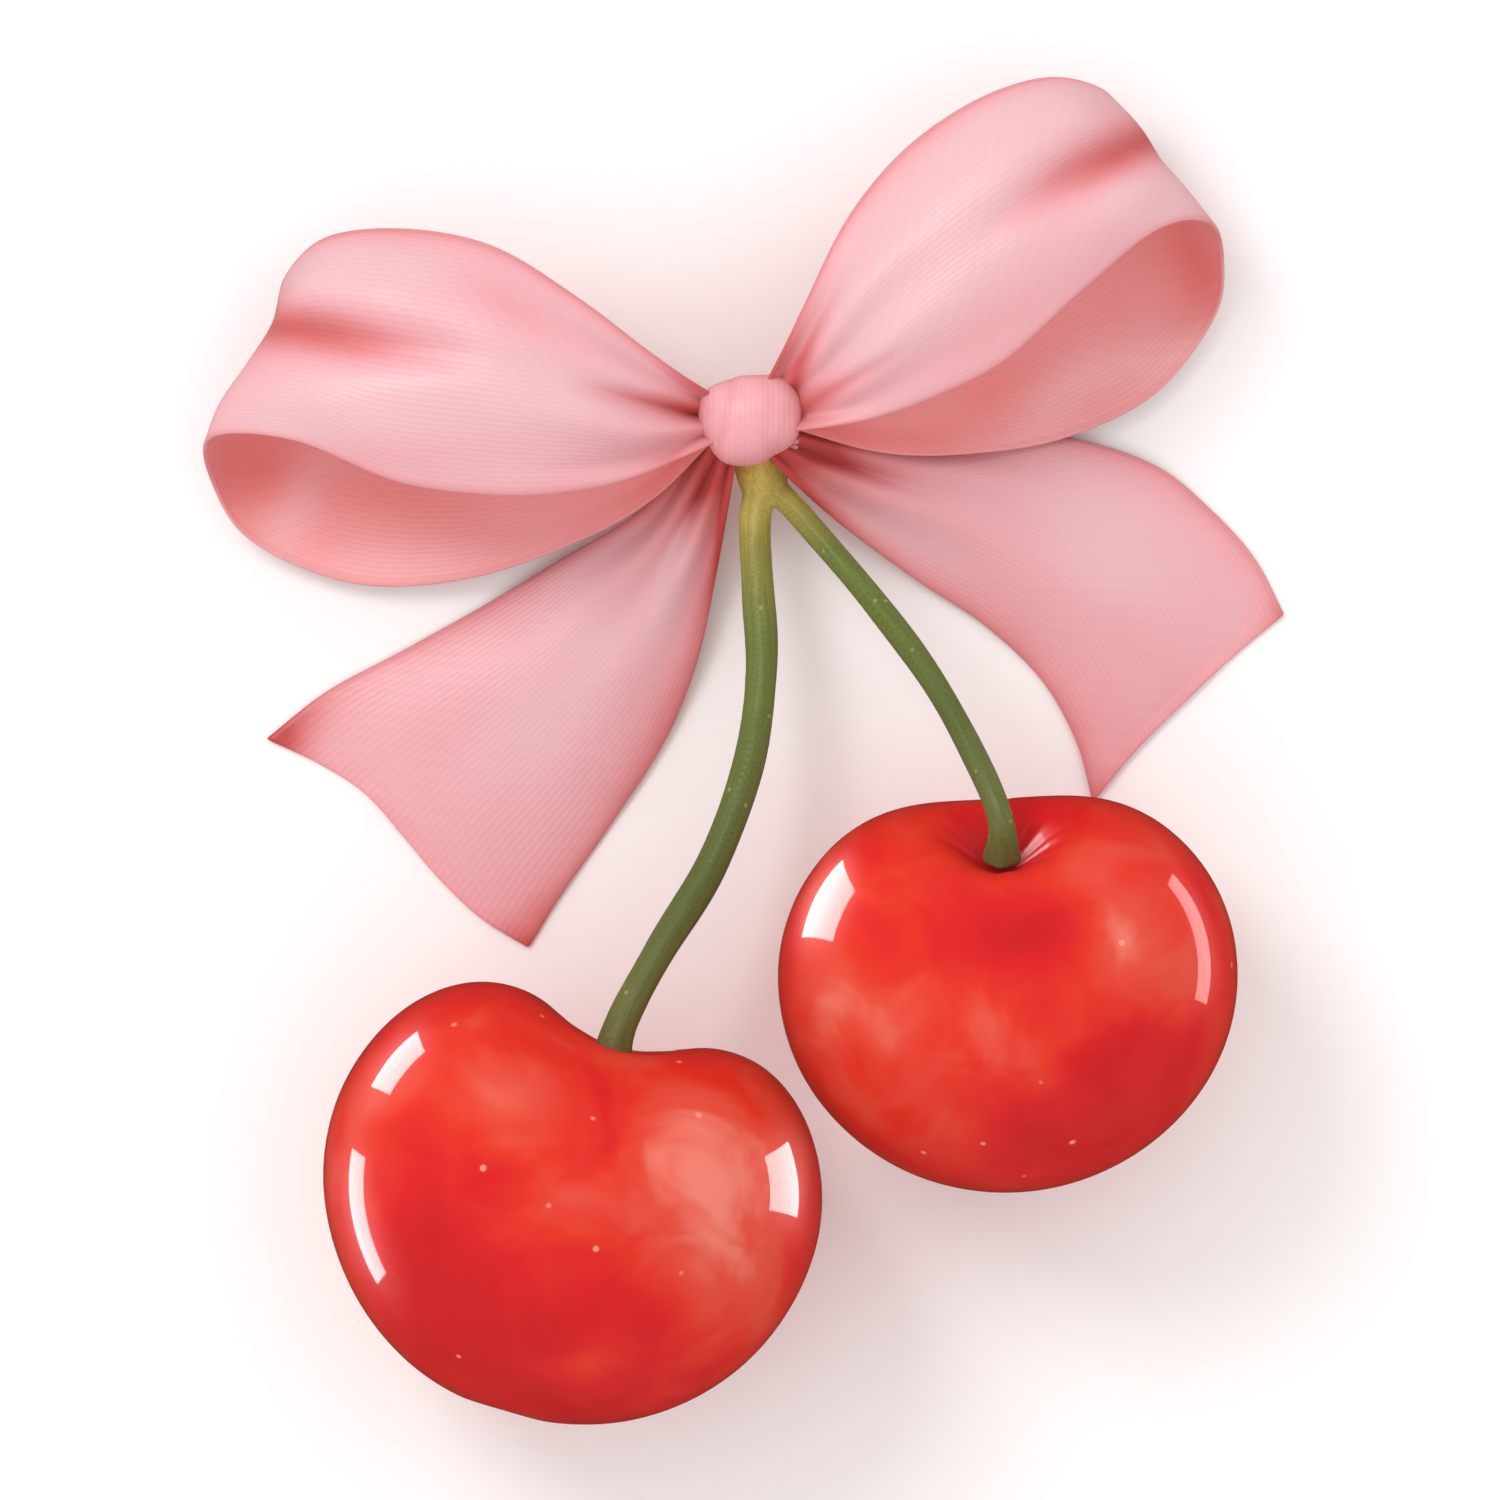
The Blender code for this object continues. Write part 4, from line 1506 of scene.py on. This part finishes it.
def left_loop(knot: Knot) -> BowLoop:
    """The lower, left loop.

    Args:
        knot: the knot that the loop leaves and enters.

    Returns:
        The loop.
    """
    return BowLoop(
        node="bow_loop_left", knot=knot, direction=178.0, mouth=1, roots=(146.0, 212.0),
        cage=(
            ((5.6, 3.5, 10.0), (5.7, 1.9, 11.2), (5.8, 0.1, 11.4),
             (5.8, -1.7, 11.1), (5.8, -3.2, 10.0)),
            ((9.6, 6.3, 10.7), (9.7, 3.9, 12.5), (9.7, 1.2, 13.0),
             (9.4, -1.6, 12.5), (9.1, -4.2, 11.1)),
            ((14.2, 8.9, 10.2), (14.6, 5.8, 12.9), (14.8, 2.2, 13.7),
             (14.2, -1.4, 13.2), (13.2, -4.6, 11.8)),
            ((19.0, 9.7, 9.2), (20.0, 6.8, 12.6), (20.4, 2.8, 13.2),
             (20.0, -0.9, 13.1), (18.8, -4.1, 11.8)),
            ((23.4, 9.1, 7.4), (24.2, 6.6, 10.6), (24.6, 3.4, 11.0),
             (24.8, 0.5, 11.8), (24.6, -2.0, 10.9)),
            ((25.6, 6.8, 4.9), (26.1, 4.4, 6.2), (27.3, 2.2, 6.9),
             (28.6, 0.1, 7.2), (29.3, -2.0, 7.0)),
            ((25.0, 5.6, 2.6), (25.8, 3.2, 2.4), (27.0, 0.4, 2.3),
             (28.4, -2.4, 2.6), (29.0, -4.8, 3.2)),
            ((22.6, 4.9, 1.0), (23.8, 2.0, 0.6), (25.0, -1.2, 0.5),
             (26.2, -4.6, 0.6), (26.8, -7.6, 1.6)),
            ((18.6, 4.4, 1.0), (19.4, 1.2, 0.4), (20.2, -2.4, 0.3),
             (20.9, -6.2, 0.4), (21.2, -9.6, 1.4)),
            ((14.0, 3.6, 1.9), (14.6, 0.6, 1.2), (15.0, -2.8, 1.0),
             (15.2, -6.2, 1.1), (15.1, -9.1, 1.9)),
            ((9.0, 2.6, 4.2), (9.2, 0.4, 3.6), (9.4, -2.2, 3.4),
             (9.5, -4.8, 3.5), (9.4, -7.0, 4.0)),
            ((5.4, 1.6, 6.4), (5.5, 0.1, 6.0), (5.5, -1.5, 5.9),
             (5.4, -3.1, 6.0), (5.2, -4.5, 6.3)),
        ),
        creases=[
            Crease(((28.0, 4.5), (24.0, 4.0), (20.0, 3.3), (16.0, 2.9), (12.0, 2.3)),
                   1.7, 1.7, 0.75),
            Crease(((2.4, 0.3), (5.0, 0.7), (8.4, 1.2), (11.0, 1.6)), 0.62, 0.75, 0.55),
            Crease(((4.0, -2.2), (8.5, -2.9), (13.0, -3.2)), 0.7, 0.3, 0.18),
        ],
        painted_light_patches=[
            PaintedLightPatch((21.8, 7.0), (4.2, 1.4), -4.0, -0.34), PaintedLightPatch((14.0, 0.6), (6.5, 2.8), 0.0, -0.22),
            PaintedLightPatch((23.0, -0.2), (3.5, 1.6), -12.0, -0.24), PaintedLightPatch((13.0, 5.4), (4.4, 1.2), 30.0, 0.28),
            PaintedLightPatch((19.0, -2.6), (6.0, 1.0), -8.0, 0.10),
        ],
        inner_painted_light_patches=[
            PaintedLightPatch((26.4, -3.4), (2.6, 2.2), 0.0, 0.34), PaintedLightPatch((24.8, -5.6), (1.3, 3.0), 22.0, -0.42),
            PaintedLightPatch((19.0, -8.4), (5.0, 1.2), -4.0, -0.34),
            PaintedLightPatch((13.0, -6.2), (4.0, 1.6), 14.0, -0.06),
            PaintedLightPatch((20.0, -4.8), (5.0, 1.4), 0.0, 0.16),
        ],
    )


def right_loop(knot: Knot) -> BowLoop:
    """The upper, right loop.

    Args:
        knot: the knot that the loop leaves and enters.

    Returns:
        The loop.
    """
    return BowLoop(
        node="bow_loop_right", knot=knot, direction=28.5, mouth=-1, roots=(66.0, -12.0),
        cage=(
            ((5.6, 4.1, 10.0), (5.7, 2.3, 11.1), (5.7, 0.3, 11.3),
             (5.7, -1.6, 10.9), (5.8, -3.1, 9.9)),
            ((9.9, 7.1, 10.5), (9.9, 4.4, 12.2), (9.8, 1.5, 12.7),
             (9.6, -1.3, 12.2), (9.4, -3.7, 10.9)),
            ((14.4, 8.9, 10.0), (14.8, 5.8, 12.6), (14.8, 2.3, 13.3),
             (14.3, -0.9, 12.8), (13.6, -3.8, 11.5)),
            ((19.2, 9.4, 9.0), (19.8, 6.5, 12.2), (19.9, 2.9, 12.8),
             (19.5, 0.0, 12.7), (18.9, -2.5, 11.5)),
            ((23.2, 8.6, 7.4), (23.8, 6.1, 10.3), (24.1, 3.4, 10.6),
             (24.3, 0.8, 11.5), (24.2, -1.5, 10.6)),
            ((25.5, 6.6, 4.9), (26.2, 4.0, 6.0), (26.3, 2.0, 6.6),
             (26.7, 0.0, 6.9), (27.1, -2.5, 6.8)),
            ((24.9, 5.2, 2.5), (25.5, 2.8, 2.3), (25.8, 0.2, 2.3),
             (26.3, -2.2, 2.6), (26.8, -4.8, 3.2)),
            ((22.4, 4.6, 1.0), (23.2, 1.7, 0.6), (24.0, -1.4, 0.5),
             (24.6, -4.6, 0.6), (24.9, -7.2, 1.6)),
            ((18.2, 4.2, 1.0), (18.8, 1.0, 0.4), (19.3, -2.5, 0.3),
             (19.8, -6.0, 0.4), (20.0, -9.25, 1.4)),
            ((13.6, 3.5, 1.9), (14.0, 0.5, 1.2), (14.2, -2.8, 1.0),
             (14.3, -6.0, 1.1), (14.3, -8.9, 1.9)),
            ((9.0, 2.6, 4.2), (9.2, 0.4, 3.6), (9.2, -2.2, 3.4),
             (9.2, -4.8, 3.5), (9.0, -6.95, 4.0)),
            ((5.4, 1.8, 6.4), (5.5, 0.2, 6.0), (5.4, -1.5, 5.9),
             (5.4, -3.1, 6.0), (5.3, -4.8, 6.3)),
        ),
        creases=[
            Crease(((28.0, 3.2), (24.5, 3.1), (21.0, 3.3), (17.5, 3.0), (13.0, 2.0)),
                   1.7, 1.6, 0.75),
            Crease(((2.3, 0.1), (4.6, 1.8), (6.6, 3.3), (9.0, 5.0)), 0.6, 0.7, 0.5),
            Crease(((2.3, -0.7), (5.0, -0.75), (7.8, -0.7), (10.4, -0.4)), 0.62, 0.7, 0.45),
        ],
        painted_light_patches=[
            PaintedLightPatch((21.0, 7.2), (4.6, 1.5), 0.0, -0.26), PaintedLightPatch((12.8, 3.6), (6.0, 3.0), 14.0, -0.26),
            PaintedLightPatch((24.6, 0.2), (2.4, 1.5), -20.0, -0.3), PaintedLightPatch((10.0, 0.6), (3.5, 1.8), 0.0, -0.2),
            PaintedLightPatch((14.0, -1.8), (5.5, 1.0), 0.0, 0.10),
        ],
        inner_painted_light_patches=[
            PaintedLightPatch((25.6, -4.4), (1.8, 3.4), 0.0, 0.3), PaintedLightPatch((20.6, -7.4), (4.6, 1.2), -12.0, -0.42),
            PaintedLightPatch((14.6, -7.4), (4.0, 1.2), 14.0, -0.30), PaintedLightPatch((20.6, -3.6), (3.8, 1.4), 0.0, 0.02),
            PaintedLightPatch((12.0, -5.0), (5.0, 1.2), 8.0, 0.16),
        ],
    )


def left_tail(knot: Knot) -> BowTail:
    """The left tail, broad and lying nearest the stalks.

    Args:
        knot: the knot that the tail hangs from.

    Returns:
        The tail.
    """
    return BowTail(
        node="bow_tail_left", knot=knot, direction=230.0, mouth=1, roots=(200.0, 252.0),
        upper=((7.5, 1.5), (12.6, 3.2), (16.8, 4.65), (21.6, 6.5), (26.1, 8.3), (30.3, 9.2)),
        lower=((7.2, -3.7), (11.7, -6.1), (16.2, -7.6), (21.6, -8.3), (26.4, -8.7), (29.8, -9.2)),
        cut=(0.0, -0.75, -1.05, -0.5, 0.1, 0.35, 0.0),
        creases=[
            Crease(((2.6, -0.2), (6.0, -0.5), (10.0, -0.9)), 0.7, 0.7, 0.3),
            Crease(((3.0, -1.8), (8.0, -4.0), (13.0, -6.0)), 0.7, 0.45, 0.25),
        ],
        painted_light_patches=[
            PaintedLightPatch((18.0, -1.4), (6.5, 3.0), 0.0, -0.26), PaintedLightPatch((8.8, -2.0), (3.6, 0.8), -24.0, -0.42),
            PaintedLightPatch((14.0, -6.2), (7.0, 1.2), -16.0, 0.16), PaintedLightPatch((29.0, 8.4), (2.6, 1.6), 0.0, 0.42),
            PaintedLightPatch((29.0, -8.6), (2.4, 1.6), 0.0, 0.28),
        ],
    )


def right_tail(knot: Knot) -> BowTail:
    """The right tail, which runs out under the right loop.

    Args:
        knot: the knot that the tail hangs from.

    Returns:
        The tail.
    """
    return BowTail(
        node="bow_tail_right", knot=knot, direction=-33.3, mouth=-1, roots=(-4.0, -60.0),
        upper=((8.1, 4.8), (14.4, 8.6), (19.6, 10.2), (23.6, 9.9), (27.1, 9.0), (30.2, 7.3)),
        lower=((6.9, -1.9), (12.4, -2.2), (16.7, -2.2), (21.0, -3.0), (24.5, -4.8), (27.1, -7.1)),
        cut=(0.0, -0.33, -0.42, -0.4, 0.0),
        creases=[
            Crease(((2.6, 0.2), (6.5, 1.2), (11.0, 2.2)), 0.7, 0.7, 0.35),
            Crease(((3.5, 1.6), (8.5, 4.0), (13.0, 6.4)), 0.7, 0.4, 0.2),
        ],
        painted_light_patches=[
            PaintedLightPatch((20.0, 5.0), (5.5, 2.8), 0.0, -0.22), PaintedLightPatch((9.5, -0.4), (4.0, 0.9), 6.0, -0.34),
            PaintedLightPatch((11.0, 5.2), (4.0, 1.2), 30.0, 0.20), PaintedLightPatch((25.5, -3.6), (4.0, 2.6), -40.0, 0.08),
        ],
    )


# ---------------------------------------------------------------- studio
@dataclass
class Studio:
    """Floor, soft light and the camera straight above."""

    view_width: float = 81.45  # mm of floor that the picture spans
    focus_height: float = 8.0  # mm; the level where the picture spans just that
    distance: float = 1000.0
    board_half: float = 1600.0
    sky: float = 1.02
    room: float = 0.22
    room_tint: str = "#ff6a58"
    key_watts: float = 1.0
    key_width: float = 250.0
    key_place: tuple[float, float, float] = (-260.0, 260.0, 460.0)
    sheen_watts: float = 1.35
    sheen_width: float = 220.0
    sheen_place: tuple[float, float, float] = (-180.0, 220.0, 500.0)
    card_gap: float = 400.0  # from a fruit's middle to its cards

    def floor(self) -> None:
        """Lay the pale board under the bunch."""
        bm = bmesh.new()
        bmesh.ops.create_grid(bm, x_segments=8, y_segments=8, size=self.board_half * MM)
        mesh = bpy.data.meshes.new("studio_floor")
        bm.to_mesh(mesh)
        bm.free()
        mesh.materials.append(MattFloor().material())
        board = bpy.data.objects.new("studio_floor", mesh)
        bpy.context.scene.collection.objects.link(board)
        board.visible_glossy = False

    def lamp(self, name: str, width: float, watts: float,
             place: tuple[float, float, float]) -> bpy.types.Object:
        """Hang a round soft lamp that shines on the middle of the bunch.

        Args:
            name: the lamp's name.
            width: its width, in millimetres.
            watts: its power.
            place: where it hangs, in millimetres.

        Returns:
            The lamp.
        """
        disk = bpy.data.lights.new(name, "AREA")
        disk.shape = "DISK"
        disk.size = width * MM
        disk.energy = watts
        lamp = bpy.data.objects.new(name, disk)
        lamp.location = Vector(place) * MM
        lamp.rotation_euler = (-lamp.location).to_track_quat("-Z", "Y").to_euler()
        bpy.context.scene.collection.objects.link(lamp)
        return lamp

    def only_on(self, light: bpy.types.Object, pieces: Sequence[bpy.types.Object]) -> None:
        """Let a light or card fall on some pieces alone.

        Args:
            light: the lamp or card.
            pieces: the pieces that it falls on.
        """
        group = bpy.data.collections.new(f"{light.name}_on")
        for piece in pieces:
            group.objects.link(piece)
        light.light_linking.receiver_collection = group

    def card(self, name: str, azimuth: float, elevation: float, size: tuple[float, float],
             strength: float, tint: str, fruit: bpy.types.Object) -> None:
        """Hang a small bright card that only shows as a window light in the gloss.

        Args:
            name: the card's name.
            azimuth: its direction from the bunch, in degrees from +X.
            elevation: its angle over the floor, in degrees.
            size: its width and height, in millimetres.
            strength: how bright it is.
            tint: its colour.
            fruit: the fruit that mirrors it.
        """
        material = bpy.data.materials.new(name)
        material.use_nodes = True
        tree = material.node_tree
        tree.nodes.clear()
        glow = add_node(tree, "ShaderNodeEmission",
                        inputs={"Color": linear(tint), "Strength": strength})
        # The clear part lets fruits that this card is not meant for see straight through it.
        clear = add_node(tree, "ShaderNodeBsdfTransparent")
        both = add_node(tree, "ShaderNodeAddShader",
                        inputs={0: glow.outputs[0], 1: clear.outputs[0]})
        add_node(tree, "ShaderNodeOutputMaterial", inputs={"Surface": both.outputs[0]})
        material.cycles.emission_sampling = "NONE"
        level = level_direction(azimuth) * math.cos(math.radians(elevation))
        way = level + UP * math.sin(math.radians(elevation))
        bm = bmesh.new()
        bmesh.ops.create_grid(bm, x_segments=1, y_segments=1, size=0.5)
        bmesh.ops.scale(bm, vec=(size[0] * MM, size[1] * MM, 1.0), verts=bm.verts)
        bmesh.ops.rotate(bm, cent=(0, 0, 0), verts=bm.verts,
                         matrix=(-way).to_track_quat("Z", "Y").to_matrix())
        middle = sum((Vector(corner) for corner in fruit.bound_box), Vector()) / 8
        bmesh.ops.translate(bm, vec=way * self.card_gap * MM + middle, verts=bm.verts)
        mesh = bpy.data.meshes.new(name)
        bm.to_mesh(mesh)
        bm.free()
        mesh.materials.append(material)
        piece = bpy.data.objects.new(name, mesh)
        bpy.context.scene.collection.objects.link(piece)
        for ray in ("camera", "diffuse", "shadow", "transmission", "volume_scatter"):
            setattr(piece, f"visible_{ray}", False)
        self.only_on(piece, [fruit])

    def lights(self, fruits: Sequence[bpy.types.Object],
               silky: Sequence[bpy.types.Object]) -> None:
        """Set the even sky, the soft key and the cards that the gloss mirrors.

        Args:
            fruits: the left and the right cherry.
            silky: the pieces that take a broad sheen.
        """
        left, right = fruits
        for piece in silky:
            piece.visible_glossy = False  # the wet skins mirror the window lights alone
        world = bpy.data.worlds.new("studio_sky")
        bpy.context.scene.world = world
        world.use_nodes = True
        background = world.node_tree.nodes["Background"]
        background.inputs["Color"].default_value = linear("#ffffff")
        background.inputs["Strength"].default_value = self.sky
        # Gloss sees a dim, warm room instead of the bright sky, so its window lights stay crisp.
        tree = world.node_tree
        room = add_node(tree, "ShaderNodeBackground",
                        inputs={"Color": linear(self.room_tint), "Strength": self.room})
        path = add_node(tree, "ShaderNodeLightPath")
        seen = add_node(tree, "ShaderNodeMixShader",
                        inputs={0: path.outputs["Is Glossy Ray"], 1: background.outputs[0],
                                2: room.outputs[0]})
        tree.links.new(seen.outputs[0], tree.nodes["World Output"].inputs["Surface"])
        key = self.lamp("soft_key", self.key_width, self.key_watts, self.key_place)
        key.visible_glossy = False
        sheen = self.lamp("soft_sheen", self.sheen_width, self.sheen_watts, self.sheen_place)
        sheen.visible_diffuse = False
        self.only_on(sheen, silky)
        self.card("window_upper_left", 140.0, -22.0, (150.0, 135.0), 9.0, "#ffffff", left)
        self.card("window_left", 191.0, -24.0, (240.0, 100.0), 8.0, "#ffffff", left)
        self.card("window_right", 6.0, -20.0, (170.0, 190.0), 8.0, "#ffffff", left)
        self.card("window_corner", 150.0, -22.0, (190.0, 260.0), 9.0, "#ffffff", right)
        self.card("window_slit", 16.0, -18.0, (360.0, 90.0), 5.0, "#ffdede", right)

    def camera(self) -> None:
        """Hang the camera straight above the middle of the picture."""
        lens = bpy.data.cameras.new("overhead")
        lens.sensor_width = 36.0
        lens.lens = 36.0 * self.distance / self.view_width
        lens.clip_start = 0.01
        lens.clip_end = 20.0
        camera = bpy.data.objects.new("overhead", lens)
        camera.location = (0.0, 0.0, (self.distance + self.focus_height) * MM)
        bpy.context.scene.collection.objects.link(camera)
        bpy.context.scene.camera = camera
        bpy.context.scene.view_settings.view_transform = "Standard"


def main() -> None:
    """Build every piece of the bunch and its studio."""
    logging.basicConfig(level=logging.INFO, format="%(name)s %(relativeCreated)d ms %(message)s")
    studio = Studio()
    studio.camera()
    studio.floor()
    skin = CherrySkin().material()
    fruits = {Side.LEFT: left_cherry(), Side.RIGHT: right_cherry()}
    shown = [fruit.build(skin) for fruit in fruits.values()]
    silky = [StalkPair(fruits).build(GreenStalk().material())]
    face = SatinRibbon("pink satin face", "tone").material()
    reverse = SatinRibbon(
        "pink satin reverse", "tone_inside", pale="#f6babb", rose="#f3a7a8", coral="#f08e8c",
        deep="#ea7270", roughness=0.52,
    ).material()
    knot = Knot()
    silky.append(knot.build(face))
    for loop in (left_loop(knot), right_loop(knot)):
        silky.append(loop.build(face, reverse, "folded", ["bow_knot_wound", "studio_floor"]))
    for tail in (left_tail(knot), right_tail(knot)):
        silky.append(tail.build(face, reverse, "laid", ["studio_floor"]))
    silky.append(TieBand(node="bow_band", knot=knot).build(
        face, reverse, "gathered", ["stalk_pair_stems"]))
    studio.lights(shown, silky)


if __name__ == "__main__":
    main()
